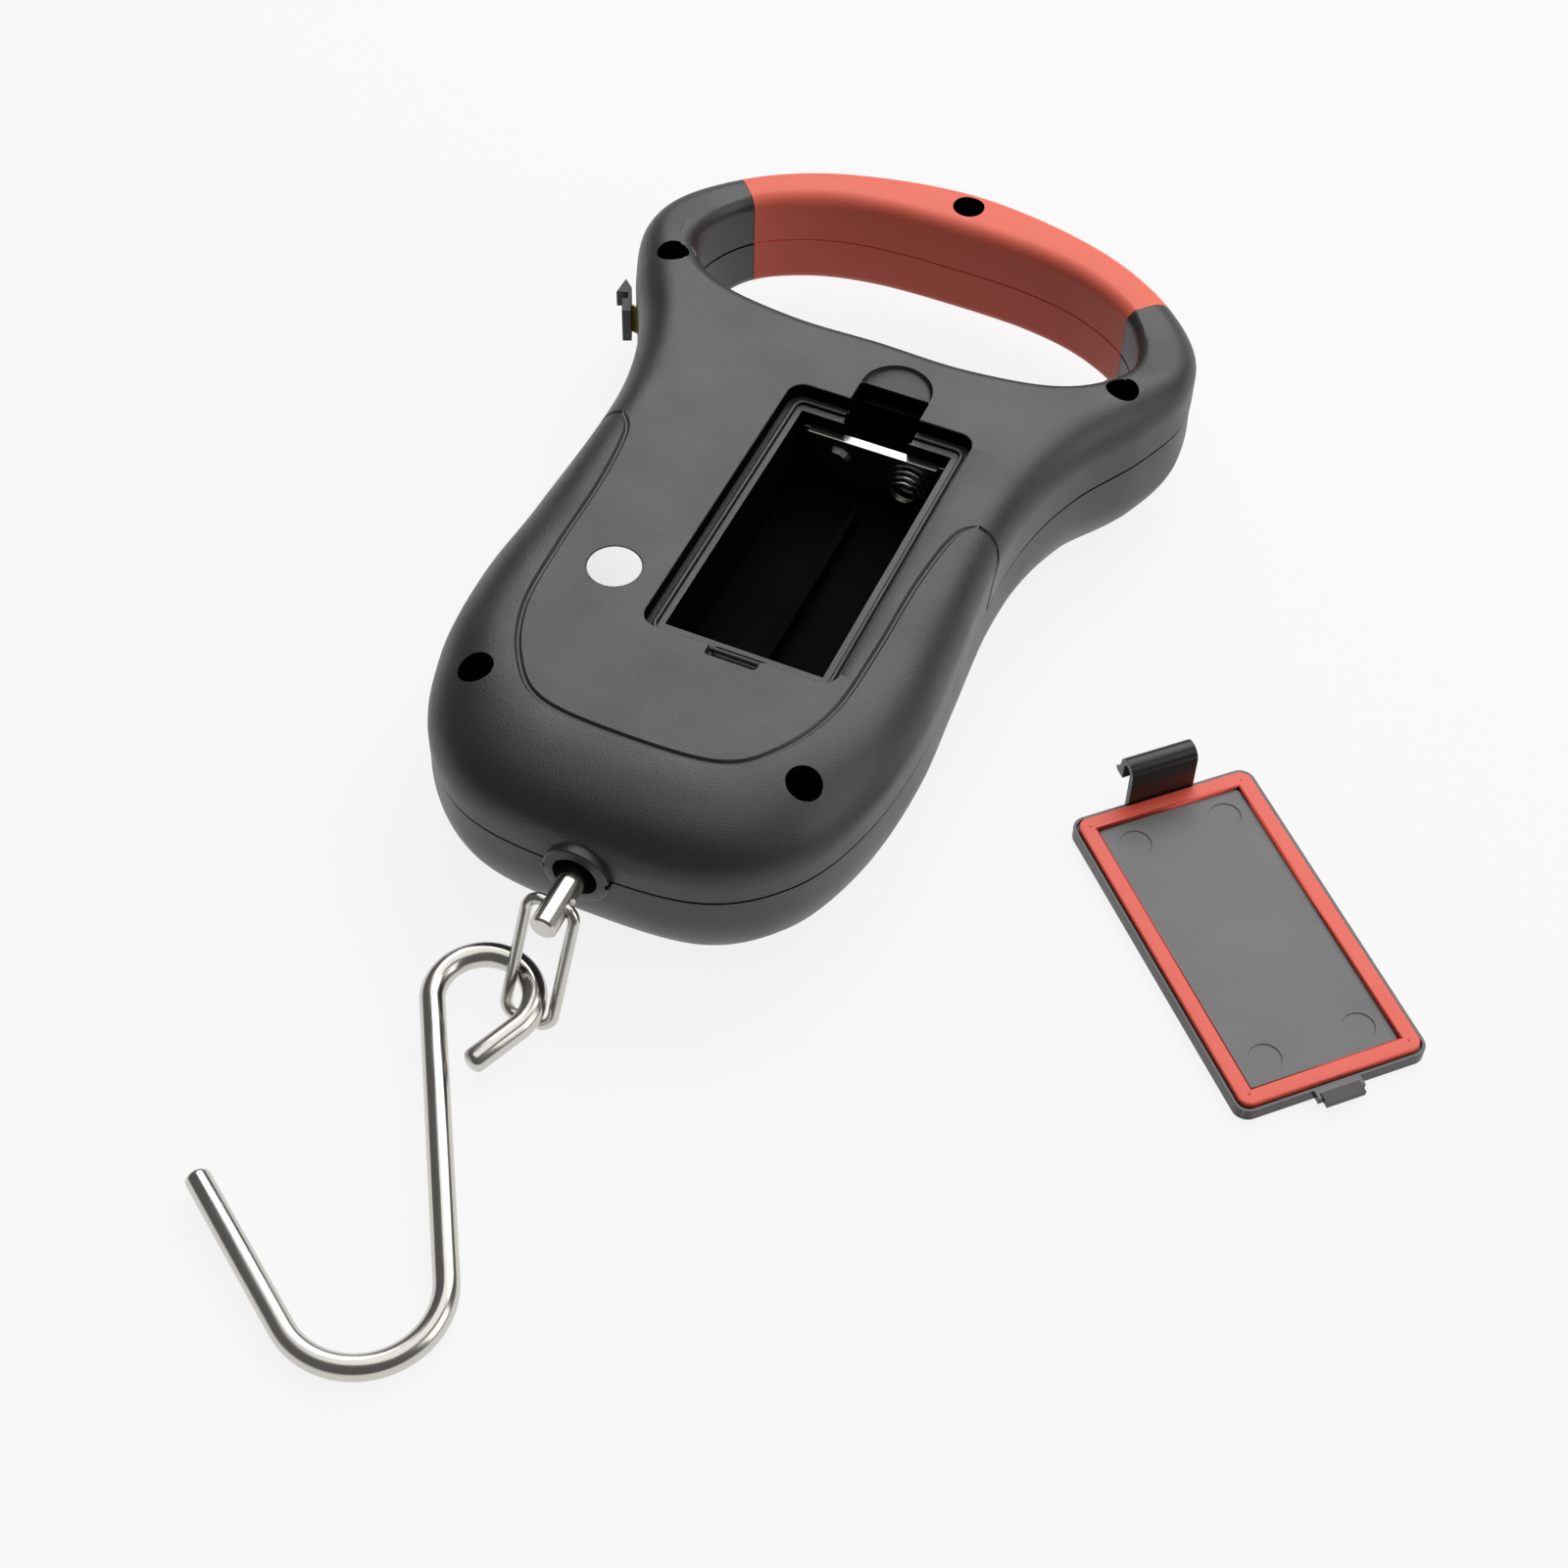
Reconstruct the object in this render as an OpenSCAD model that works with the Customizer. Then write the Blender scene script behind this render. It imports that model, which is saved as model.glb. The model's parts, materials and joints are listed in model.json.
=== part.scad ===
// Digital luggage scale with a built-in tape measure, lying face down with its battery door off.
// Millimetres, +Z up. The casing lies on its front face at z = 0, with its long axis along Y.
// The handle is at +Y and the hook at -Y. The origin is under the middle of the casing.

/* [Casing] */
// Length of the casing from handle to rod end
casing_l = 150; // [140:1:165]
// Width of the casing across the handle
casing_w = 93.5; // [88:0.5:104]
// Thickness of the casing over the flat back
casing_t = 28; // [26:0.5:34]
// Height of the joint between the two shells above the table
parting_z = 16.4; // [15.5:0.1:18]
// Wall thickness of the shells
wall = 2.2; // [1.8:0.1:2.6]
// How much thinner the handle is at the back face
handle_drop_back = 2.6; // [1:0.1:3.5]
// How much thinner the handle is at the front face
handle_drop_front = 7.4; // [5:0.1:8]
// Width of the flat panel on the back
panel_w = 50; // [46:1:54]

/* [Battery bay] */
// Width of the recess that the door sits in
recess_w = 30; // [29:0.5:33]
// Length of the recess that the door sits in
recess_l = 55; // [53:0.5:58]
// Depth of the recess down to the sealing ledge
recess_depth = 2.6; // [2.2:0.1:3]
// Distance of the bay's centre from the casing's centreline
bay_x = 7; // [4:0.5:8]
// Distance of the bay's centre from the middle of the casing's length
bay_y = -11.5; // [-14:0.5:-9]
// Width of the sealing ledge all round the bay
ledge_w = 2.7; // [2.3:0.1:3]
// Diameter of one battery cell
cell_d = 10.5; // [10.5:0.1:11]

/* [Battery door] */
// Clearance between door and recess all round
door_gap = 0.3; // [0.2:0.05:0.5]
// Thickness of the door plate
door_t = 2; // [1.6:0.1:2.4]
// Width of the gasket band
gasket_w = 2.6; // [2.2:0.1:2.8]
// Place of the loose door on the table, along X
door_x = 85; // [80:1:110]
// Place of the loose door on the table, along Y
door_y = -35.8; // [-60:1:0]
// Turn of the loose door on the table
door_yaw = 45.5; // [0:0.5:90]

/* [Load path] */
// Diameter of the load rod
rod_d = 4; // [3.6:0.1:4.4]
// How far the load rod stands out of the casing
rod_out = 11; // [10:0.5:14]
// Wire diameter of the chain link
link_d = 1.7; // [1.4:0.1:1.8]
// Length of the chain link between its bar centres
link_l = 17.9; // [17.5:0.1:18.5]
// Wire diameter of the hook
hook_d = 3.6; // [3:0.1:3.8]
// Bend radius of the hook's eye, to the wire's centre
eye_r = 7; // [6.8:0.1:7.5]
// Bend radius of the hook's mouth, to the wire's centre
mouth_r = 11; // [9:0.5:13]
// Straight length of the hook's shank
shank_l = 42.6; // [36:0.5:50]

/* [Tape measure] */
// Outer radius of the wound tape
coil_r = 9.2; // [8.5:0.1:9.6]
// Width of the tape
tape_w = 6; // [5:0.5:7]
// Thickness of the tape
tape_t = 0.3; // [0.2:0.05:0.4]

/* [Front] */
// Width of the display window
window_w = 44; // [40:1:46]
// Height of the display window
window_h = 20; // [16:1:22]
// Diameter of a push button
button_d = 9; // [8:0.5:10]
// Distance between push buttons
button_pitch = 16; // [15:0.5:18]

/* [Hidden] */
$fn = 48;
eps = 0.01;

// Half outline of the casing at the parting line, from handle top to rod end, in shares of half size
outline_half = [[0, 1], [0.427, 0.957], [0.736, 0.866], [0.945, 0.733], [1, 0.593], [0.93, 0.447],
    [0.796, 0.287], [0.724, 0.127], [0.708, -0.053], [0.732, -0.267], [0.753, -0.48], [0.718, -0.693],
    [0.604, -0.867], [0.374, -0.977], [0, -1]];
// Half outline of the hand opening, in millimetres from the handle's top
opening_half = [[0, -11.2], [14, -11.8], [25, -14.6], [34, -20.5], [38, -29.5], [35, -36.6],
    [27.5, -41.6], [14, -43.9], [0, -43.7]];
// Half outline of the flat back panel's lower border
panel_half = [[0.58, -1], [0.53, -5], [0.505, -16], [0.5, -30], [0.48, -43], [0.4, -52.5],
    [0.27, -58.2], [0, -59.4]];

half_l = casing_l / 2;
half_w = casing_w / 2;
back_depth = casing_t - parting_z;
handle_top = [0, half_l];

// Screw places: two beside the handle's roots, two at the rod end, one in the grip
screw_x = half_w - 8.6;
screw_y = half_l - 38.6;
foot_screw_x = half_w - 21.65;
foot_screw_y = -half_l + 19;
grip_screw_y = half_l - 5.7;
screw_spots = [[-screw_x, screw_y], [screw_x, screw_y], [-foot_screw_x, foot_screw_y],
    [foot_screw_x, foot_screw_y], [0, grip_screw_y]];
well_r = 2.6;
boss_wall = 1.1;
screw_r = 1.3;
head_r = 2.3;
head_t = 1.6;
well_floor_z = parting_z + 2.4;
thread_depth = 7;

// Battery bay
ledge_z = casing_t - recess_depth;
bay_w = recess_w - 2 * ledge_w;
bay_l = recess_l - 2 * ledge_w - 0.6;
bay_floor_z = ledge_z - cell_d - 2;
tub_wall = 1.4;
cell_x = cell_d / 2 + 0.75;
contact_t = 0.35;
contact_h = 9.4;
contact_z = bay_floor_z + 0.6;
spring_l = 3.2;
latch_w = 10.6;
tongue_w = 7.2;
notch_l = 4.2;
notch_drop = 8.6;
latch_out = 0.4;
catch_t = 1.6;
moon_r = 5.6;

// Battery door
door_w = recess_w - 2 * door_gap;
door_l = recess_l - 2 * door_gap;
door_r = 2.2;
rim_w = 0.5;
channel_depth = 0.7;
gasket_t = 1.3;

// Load path
rod_y = -half_l - rod_out;
bore_y = rod_y + 4.5;
bore_r = link_d / 2 + 0.35;
beam_y = foot_screw_y + 9;
beam_l = 34;
beam_d = 8;
beam_h = 8;
beam_x = beam_l / 2 - 8;
beam_end = beam_x + beam_l / 2;
clamp_x = [beam_end - 8.7, beam_end - 3];
waist_x = beam_end - 17.1;
waist_hole_r = 2.4;
waist_pitch = 3.2;
nut_t = 2.8;
collar_r = 5;
collar_hole_r = 3.4;
collar_out = 1.2;
link_half_w = 3.6;
link_shift = -0.7;
link_corner_r = 1.9;
bend_gap = 3.5;
hook_lift = 4;
link_swing = asin((parting_z - hook_lift) / (link_l - bend_gap));
contact_angle = 24;
eye_centre = [link_shift + 0.4 - eye_r * cos(contact_angle),
    bore_y - (link_l - bend_gap) * cos(link_swing) - eye_r * sin(contact_angle)];
shank_heading = -59.4;
eye_turn = 233.4;
mouth_turn = 155;
tail_l = 7.4;
tip_l = 25;

// Tape measure
tape_angle = 12;
spool_at = [-half_w + 26.2, 17.2];
tape_z = 15;
spool_post_r = 2.4;
spool_bore_r = spool_post_r + 0.08;
spool_hub_r = 5;
flange_r = coil_r + 1.4;
flange_t = 0.8;
tape_line_r = coil_r + 0.3;
tape_run = 24.7;
tape_reach = 1.8;
tape_exit = spool_at + tape_line_r * [sin(tape_angle), cos(tape_angle)]
    + tape_run * [-cos(tape_angle), sin(tape_angle)];
tab_lean = 24.5;

// Front face, board and display
lens_t = 1.2;
lens_back_z = 1.9;
window_y = 8;
button_y = -26;
glass_t = 2.4;
glass_z = wall + 0.1;
board_t = 1.6;
board_z = 6.8;
board_w = 54;
board_l = 60;
board_y = -8;
post_in = 2;
post_r = 1.6;
glass_margin = 1;
button_travel = 0.4;
button_face_z = 0.5;

function lerp(a, b, t) = a + (b - a) * t;
function ease(v, from, to) = let (t = min(1, max(0, (v - from) / (to - from)))) t * t * (3 - 2 * t);
function mirrored(p) = concat(p, [for (i = [len(p) - 2:-1:1]) [-p[i][0], p[i][1]]]);
function spline_point(a, b, c, d, t) = 0.5 * (2 * b + (c - a) * t + (2 * a - 5 * b + 4 * c - d) * t * t
    + (3 * b - a - 3 * c + d) * t * t * t);
function spline_loop(p, steps) = let (n = len(p)) [for (i = [0:n - 1]) for (j = [0:steps - 1])
    spline_point(p[(i + n - 1) % n], p[i], p[(i + 1) % n], p[(i + 2) % n], j / steps)];
function outward(p, i) = let (n = len(p), t = p[(i + 1) % n] - p[(i + n - 1) % n]) [-t[1], t[0]] / norm(t);

// Outline loops, clockwise from the handle's top or the opening's top
function casing_loop(steps) = spline_loop(mirrored([for (p = outline_half)
    [p[0] * half_w, p[1] * half_l]]), steps);
function opening_loop(steps) = spline_loop(mirrored([for (p = opening_half)
    [p[0] * casing_w / 95, half_l + p[1]]]), steps);

// Depth of each half above the parting plane, and its rounded shoulder, along the casing
function back_height(y) = back_depth - handle_drop_back * ease(y, half_l - 51, half_l - 13);
function front_height(y) = parting_z - handle_drop_front * ease(y, half_l - 49, half_l - 17);
function root_share(y) = ease(y, half_l - 45, half_l - 25);
function waist_share(y) = ease(-y, 2, 28);
function foot_share(y) = ease(-y, half_l - 30, half_l - 5);
function back_shoulder_in(y) = 6.5 - 2.3 * root_share(y) + 3 * waist_share(y) + 5 * foot_share(y);
function back_shoulder_down(y) = 6 - 1.8 * root_share(y) + 2 * waist_share(y) + 0.8 * foot_share(y);
function front_shoulder_in(y) = 9 - 4.5 * ease(y, half_l - 55, half_l - 30);
function front_shoulder_down(y) = 12 - 7.5 * ease(y, half_l - 55, half_l - 30);
function height_at(side, y) = side > 0 ? back_height(y) : front_height(y);
function shoulder_in(side, y) = side > 0 ? back_shoulder_in(y) : front_shoulder_in(y);
function shoulder_down(side, y) = side > 0 ? back_shoulder_down(y) : front_shoulder_down(y);

// One ring of the outer form: 0 is the parting plane, angle runs over the shoulder to 90
function form_ring(loop, side, angle) = [for (i = [0:len(loop) - 1]) let (p = loop[i], y = p[1],
    q = p - outward(loop, i) * shoulder_in(side, y) * (1 - cos(angle)))
    [q[0], q[1], height_at(side, y) - shoulder_down(side, y) * (1 - sin(angle))]];

// Solid through rings of equal length whose loops are symmetric about x = 0
module loft(rings) {
    n = len(rings[0]);
    last = (len(rings) - 1) * n;
    sides = [for (k = [0:len(rings) - 2]) for (i = [0:n - 1]) let (j = (i + 1) % n)
        each [[k * n + i, k * n + j, (k + 1) * n + j], [k * n + i, (k + 1) * n + j, (k + 1) * n + i]]];
    roof = [for (i = [1:n / 2 - 2]) each [[last + i, last + i + 1, last + n - i - 1],
        [last + i, last + n - i - 1, last + n - i]]];
    base = [for (i = [1:n / 2 - 2]) each [[n - i - 1, i + 1, i], [n - i, n - i - 1, i]]];
    ends = [[last, last + 1, last + n - 1], [last + n / 2 - 1, last + n / 2, last + n / 2 + 1],
        [n - 1, 1, 0], [n / 2 + 1, n / 2, n / 2 - 1]];
    polyhedron([for (r = rings) each r], concat(sides, roof, base, ends), convexity = 6);
}

// Outer form of one half of the casing, standing on the parting plane at z = 0
module half_form(side) {
    loop = casing_loop(4);
    loft(concat([[for (p = loop) [p[0], p[1], 0]]], [for (a = [0:22.5:90]) form_ring(loop, side, a)]));
}

// Tool that cuts the hand opening, flared where it meets the outer face
module opening_tool(side) {
    loop = opening_loop(3);
    edge_r = 2.5;
    rings = [for (a = [0:30:90]) [for (i = [0:len(loop) - 1]) let (p = loop[i],
        q = p + outward(loop, i) * edge_r * (1 - cos(a)))
        [q[0], q[1], height_at(side, p[1]) - edge_r * (1 - sin(a))]]];
    top = [for (p = rings[3]) [p[0], p[1], p[2] + 2]];
    loft(concat([[for (p = loop) [p[0], p[1], -1]]], rings, [top]));
}

// Loop drawn in by a set distance, or out by a negative one
function inset_loop(loop, d) = [for (i = [0:len(loop) - 1]) loop[i] - outward(loop, i) * d];

// Plan of the hollow at height h above the parting plane
module hollow_plan(side, h) {
    loop = casing_loop(2);
    ring = [for (i = [0:len(loop) - 1]) let (p = loop[i], down = shoulder_down(side, p[1]),
        rise = max(0, h + down - height_at(side, p[1])) / down,
        in = shoulder_in(side, p[1]) * (1 - sqrt(max(0, 1 - rise * rise))))
        p - outward(loop, i) * (wall + in)];
    difference() {
        polygon(ring);
        polygon(inset_loop(opening_loop(2), -wall));
    }
}

// Hollow inside one half, in two steps that follow the shoulder
module hollow(side) {
    handle_h = height_at(side, half_l) - wall;
    body_h = height_at(side, 0) - wall;
    translate([0, 0, -eps]) linear_extrude(handle_h + eps) hollow_plan(side, handle_h);
    intersection() {
        linear_extrude(body_h) hollow_plan(side, body_h);
        translate([-casing_w, -casing_l, 0]) cube([2 * casing_w, casing_l + half_l - 51, casing_t]);
    }
    intersection() {
        linear_extrude(body_h - 4) hollow_plan(side, body_h - 4);
        translate([-casing_w, -casing_l, 0]) cube([2 * casing_w, casing_l + half_l - 51, casing_t]);
    }
}

// Plan of the coloured grip: the handle between two cuts square to its arc
module grip_plan() {
    cut_in = [half_w - 24.75, half_l - 30.5];
    cut_out = [half_w + 5.75, half_l + 2];
    polygon([[-cut_in[0], cut_in[1]], cut_in, cut_out, [cut_out[0], casing_l], [-cut_out[0], casing_l],
        [-cut_out[0], cut_out[1]]]);
}

module at_screws() {
    for (p = screw_spots) translate(p) children();
}

// Places something from the upright half frame onto the casing
module placed(side) {
    translate([0, 0, parting_z]) mirror([0, 0, side > 0 ? 0 : 1]) children();
}

module rounded_plate(w, l, r, t) {
    linear_extrude(t) union() {
        square([w - 2 * r, l], center = true);
        square([w, l - 2 * r], center = true);
        for (x = [-1, 1]) for (y = [-1, 1]) translate([x * (w / 2 - r), y * (l / 2 - r)]) circle(r);
    }
}

module collar(side) {
    intersection() {
        translate([0, -half_l + 5, 0]) rotate([90, 0, 0]) cylinder(r = collar_r, h = 5 + collar_out);
        translate([-collar_r, -half_l - collar_out, 0]) cube([2 * collar_r, 5 + collar_out, collar_r]);
    }
}

module rod_passage() {
    translate([0, -half_l + 7, 0]) rotate([90, 0, 0]) cylinder(r = collar_hole_r, h = 12);
}

// Slot in the side wall that the tape runs out through
module tape_slot() {
    slot_h = tape_w + 1.2;
    translate([tape_exit[0], tape_exit[1], tape_z - slot_h / 2]) rotate([0, 0, -tape_angle])
        translate([-6, -0.6, 0]) cube([14, 1.2, slot_h]);
}

// Fine groove that borders the flat back panel
module panel_groove() {
    right = [for (p = panel_half) [p[0] * panel_w, p[1] - (casing_l - 150) / 2]];
    border = concat(right, [for (i = [len(right) - 2:-1:0]) [-right[i][0], right[i][1]]]);
    n = len(border);
    line = [for (i = [0:n - 2]) for (j = [0:5]) spline_point(border[max(0, i - 1)], border[i],
        border[i + 1], border[min(n - 1, i + 2)], j / 6)];
    m = len(line);
    side = [for (i = [0:m - 1]) let (t = line[min(m - 1, i + 1)] - line[max(0, i - 1)])
        [-t[1], t[0]] / norm(t)];
    groove_w = 0.9;
    groove_depth = 0.35;
    translate([0, 0, casing_t - groove_depth]) linear_extrude(1) polygon(concat(
        [for (i = [0:m - 1]) line[i] + side[i] * groove_w / 2],
        [for (i = [m - 1:-1:0]) line[i] - side[i] * groove_w / 2]));
}

module bay_place() {
    translate([bay_x, bay_y, 0]) children();
}

// Everything cut out of the back for the door, its latch and its tongue
module bay_cuts() {
    bay_place() {
        translate([0, 0, ledge_z]) rounded_plate(recess_w, recess_l, 2.5, recess_depth + 1);
        translate([-bay_w / 2, -bay_l / 2, bay_floor_z]) cube([bay_w, bay_l, casing_t]);
        translate([-latch_w / 2 - 0.3, recess_l / 2 - 3, ledge_z - 4])
            cube([latch_w + 0.6, notch_l + 3, 10]);
        translate([-latch_w / 2 - 0.3, bay_l / 2 + tub_wall, ledge_z - notch_drop])
            cube([latch_w + 0.6, recess_l / 2 + notch_l - bay_l / 2 - tub_wall, 12]);
        translate([-tongue_w / 2 - 0.3, -recess_l / 2 - 1.8, ledge_z - 0.6])
            cube([tongue_w + 0.6, 4, 6]);
        intersection() {
            translate([0, recess_l / 2 + notch_l + 0.6, casing_t - 0.2]) rotate([-10, 0, 0])
                translate([0, 0, -0.7]) cylinder(r = moon_r, h = 6);
            translate([-moon_r, recess_l / 2 + notch_l - 0.1, casing_t - 3])
                cube([2 * moon_r, 2 * moon_r, 6]);
        }
    }
}

// Tub under the bay that holds the two cells, with a low rib between them
module bay_tub() {
    bay_place() difference() {
        translate([-bay_w / 2 - tub_wall, -bay_l / 2 - tub_wall, bay_floor_z - tub_wall])
            cube([bay_w + 2 * tub_wall, bay_l + 2 * tub_wall, casing_t - bay_floor_z]);
        translate([-bay_w / 2, -bay_l / 2, bay_floor_z]) cube([bay_w, bay_l, casing_t]);
    }
    bay_place() difference() {
        translate([-latch_w / 2 - 1.5, bay_l / 2 + 0.1, ledge_z - notch_drop - 1.2])
            cube([latch_w + 3, recess_l / 2 + notch_l - bay_l / 2 + 1.1, notch_drop]);
        translate([-bay_w / 2, -bay_l / 2, bay_floor_z]) cube([bay_w, bay_l, casing_t]);
    }
}

module bay_trim() {
    rib_w = 0.8;
    bay_place() {
        translate([0, 0, ledge_z]) difference() {
            rounded_plate(recess_w - 1.8, recess_l - 1.8, 1.8, 0.5);
            translate([0, 0, -1]) rounded_plate(recess_w - 1.8 - 2 * rib_w, recess_l - 1.8 - 2 * rib_w, 1, 3);
            translate([-latch_w / 2 - 0.3, recess_l / 2 - 3, -1]) cube([latch_w + 0.6, 4, 3]);
        }
        translate([-0.6, -bay_l / 2 + 6, bay_floor_z - eps]) cube([1.2, bay_l - 12, 3.2]);
    }
}

module back_bosses() {
    at_screws() translate([0, 0, parting_z]) cylinder(r = well_r + boss_wall, h = back_depth - 4);
    translate([spool_at[0], spool_at[1], tape_z - tape_w / 2 - flange_t - 0.2])
        cylinder(r = spool_post_r, h = casing_t - wall - tape_z + tape_w / 2 + flange_t + 0.4);
    translate([spool_at[0], spool_at[1], tape_z + tape_w / 2 + flange_t + 0.15])
        cylinder(r = spool_post_r + 1.6, h = casing_t - wall - tape_z - tape_w / 2 - flange_t);
}

module back_shell() {
    color([0.16, 0.16, 0.17]) difference() {
        union() {
            difference() {
                placed(1) half_form(1);
                placed(1) hollow(1);
                bay_place() translate([-bay_w / 2 - eps, -bay_l / 2 - eps, parting_z - eps])
                    cube([bay_w + 2 * eps, bay_l + 2 * eps, back_depth - wall]);
            }
            intersection() {
                bay_place() translate([0, 0, casing_t - wall - recess_depth])
                    rounded_plate(recess_w + 2 * wall, recess_l + 2 * wall + 4, 3, wall + 1);
                placed(1) half_form(1);
            }
            back_bosses();
            bay_tub();
            placed(1) collar(1);
        }
        bay_cuts();
        placed(1) opening_tool(1);
        placed(1) rod_passage();
        translate([0, 0, parting_z - casing_t]) linear_extrude(3 * casing_t) grip_plan();
        at_screws() translate([0, 0, well_floor_z]) cylinder(r = well_r, h = casing_t);
        at_screws() translate([0, 0, parting_z - 1]) cylinder(r = screw_r + 0.2, h = 10);
        tape_slot();
        panel_groove();
        sticker_seat();
        translate([spool_at[0], spool_at[1], tape_z - tape_w / 2 - 3]) cylinder(r = 0.85, h = 9);
    }
    color([0.16, 0.16, 0.17]) bay_trim();
}

module at_posts() {
    for (x = [-1, 1]) for (y = [-1, 1]) translate([x * (board_w / 2 - post_in), board_y + y * (board_l / 2
        - post_in), 0]) children();
}

module front_bosses() {
    at_screws() translate([0, 0, -parting_z + 1.2]) cylinder(r = 3.2, h = parting_z - 1.2);
    for (x = clamp_x) translate([x, beam_y, -parting_z + 1]) cylinder(r = 3, h = parting_z - 1 - beam_h / 2);
    at_posts() translate([0, 0, -parting_z + 1]) cylinder(r = post_r, h = board_z - 1);
}

module front_shell() {
    color([0.16, 0.16, 0.17]) difference() {
        union() {
            difference() {
                placed(-1) half_form(-1);
                placed(-1) hollow(-1);
            }
            intersection() {
                translate([0, 0, parting_z]) front_bosses();
                placed(-1) half_form(-1);
            }
            placed(-1) collar(-1);
        }
        placed(-1) opening_tool(-1);
        placed(-1) rod_passage();
        translate([0, 0, -casing_t]) linear_extrude(3 * casing_t) grip_plan();
        at_screws() translate([0, 0, parting_z - thread_depth - 1]) cylinder(r = screw_r + 0.03, h = 20);
        for (x = clamp_x) translate([x, beam_y, 5]) cylinder(r = screw_r + 0.03, h = 20);
        tape_slot();
        translate([0, window_y, -1]) rounded_plate(window_w + 4.2, window_h + 4.2, 2, 1 + lens_back_z);
        translate([0, window_y, -1]) rounded_plate(window_w, window_h, 1, 6);
        for (i = [-1:1]) translate([i * button_pitch, button_y, -1])
            cylinder(r = button_d / 2 + 0.15, h = 6);
    }
}

// One coloured half of the grip, hollow like the shells it is clamped between
module grip_half(side) {
    spot = [0, grip_screw_y];
    difference() {
        union() {
            difference() {
                placed(side) half_form(side);
                placed(side) hollow(side);
            }
            placed(side) translate(spot) cylinder(r = well_r + boss_wall, h = height_at(side, half_l) - 1);
        }
        placed(side) opening_tool(side);
        difference() {
            translate([-casing_w, -casing_l, -1]) cube([2 * casing_w, 2 * casing_l, 2 * casing_t]);
            translate([0, 0, -2]) linear_extrude(3 * casing_t) grip_plan();
        }
        if (side > 0) translate([0, grip_screw_y, well_floor_z]) cylinder(r = well_r, h = casing_t);
        if (side > 0) translate([0, grip_screw_y, parting_z - 1]) cylinder(r = screw_r + 0.2, h = 10);
        if (side < 0) translate([0, grip_screw_y, parting_z - 6]) cylinder(r = screw_r + 0.03, h = 20);
    }
}

module grip_back() {
    color([0.86, 0.24, 0.17]) grip_half(1);
}

module grip_front() {
    color([0.86, 0.24, 0.17]) grip_half(-1);
}

// Five equal self-tapping screws that clamp the shells and the grip
module case_screws() {
    color([0.6, 0.6, 0.62]) at_screws() translate([0, 0, well_floor_z]) difference() {
        union() {
            cylinder(r = head_r, h = head_t);
            translate([0, 0, -7]) cylinder(r = screw_r, h = 7 + eps);
            translate([0, 0, -8]) cylinder(r1 = 0.4, r2 = screw_r, h = 1 + eps);
        }
        for (a = [0, 90]) rotate([0, 0, a]) translate([-1.3, -0.3, head_t - 0.8]) cube([2.6, 0.6, 1]);
    }
}

sticker_at = [-half_w + 31.05, -31];
sticker_r = 4;

module sticker_seat() {
    translate([sticker_at[0], sticker_at[1], casing_t - 0.2]) cylinder(r = sticker_r + 0.15, h = 1);
}

module qc_sticker() {
    color([0.93, 0.93, 0.93]) translate([sticker_at[0], sticker_at[1], casing_t - 0.2])
        cylinder(r = sticker_r, h = 0.15);
}

module door_place() {
    translate([door_x, door_y, 0]) rotate([0, 0, door_yaw]) children();
}

// Sprung latch at the door's end: a leg, a bend and a lip, seen from the side
module latch_profile() {
    leg_t = 1;
    bend_r = 1.9;
    bend_z = door_t + 6;
    lip_l = 2.6;
    root = door_l / 2 - leg_t + latch_out;
    difference() {
        union() {
            translate([root, door_t - 0.4]) square([leg_t, bend_z - door_t + 0.4]);
            translate([root - 0.2, 0]) square([leg_t + 0.2, door_t]);
            translate([root + bend_r, bend_z]) circle(bend_r);
            translate([root + 2 * bend_r - leg_t, bend_z - lip_l]) square([leg_t, lip_l]);
            translate([root + 2 * bend_r - leg_t, bend_z - lip_l])
                polygon([[0, 0], [1.6, 0], [2.2, 0.5], [1, 1.7], [0, 1.7]]);
        }
        translate([root + bend_r, bend_z]) circle(bend_r - leg_t);
        translate([root + leg_t, door_t]) square([2 * (bend_r - leg_t), bend_z - door_t]);
    }
}

module battery_door() {
    color([0.2, 0.2, 0.21]) door_place() difference() {
        union() {
            rounded_plate(door_w, door_l, door_r, door_t);
            rotate([90, 0, 90]) translate([0, 0, -latch_w / 2]) linear_extrude(latch_w) latch_profile();
            translate([-tongue_w / 2, -door_l / 2 - 1.5, 0.9]) cube([tongue_w, 2.5, 1.1]);
            translate([-tongue_w / 2 + 0.6, -door_l / 2 - 2.7, 1.3]) cube([tongue_w - 1.2, 2, 0.9]);
        }
        translate([0, 0, door_t - channel_depth]) difference() {
            rounded_plate(door_w - 2 * rim_w, door_l - 2 * rim_w, 1.6, 2);
            translate([0, 0, -1]) rounded_plate(door_w - 2 * rim_w - 2 * gasket_w - 0.3,
                door_l - 2 * rim_w - 2 * gasket_w - 0.3, 0.8, 4);
            translate([-latch_w / 2, door_l / 2 - 0.7, -1]) cube([latch_w, 4, 4]);
        }
        for (x = [-1, 1]) for (y = [-1, 1]) translate([x * 7.3, y * 20, door_t - 0.15])
            cylinder(r = 2.35, h = 1);
    }
}

module door_gasket() {
    color([0.95, 0.42, 0.36]) door_place() translate([0, 0, door_t - channel_depth + 0.02]) difference() {
        rounded_plate(door_w - 2 * rim_w - 0.4, door_l - 2 * rim_w - 0.5, 1.4, gasket_t);
        translate([0, 0, -1]) rounded_plate(door_w - 2 * rim_w - 2 * gasket_w, door_l - 2 * rim_w
            - 2 * gasket_w, 0.6, gasket_t + 2);
    }
}

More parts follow.
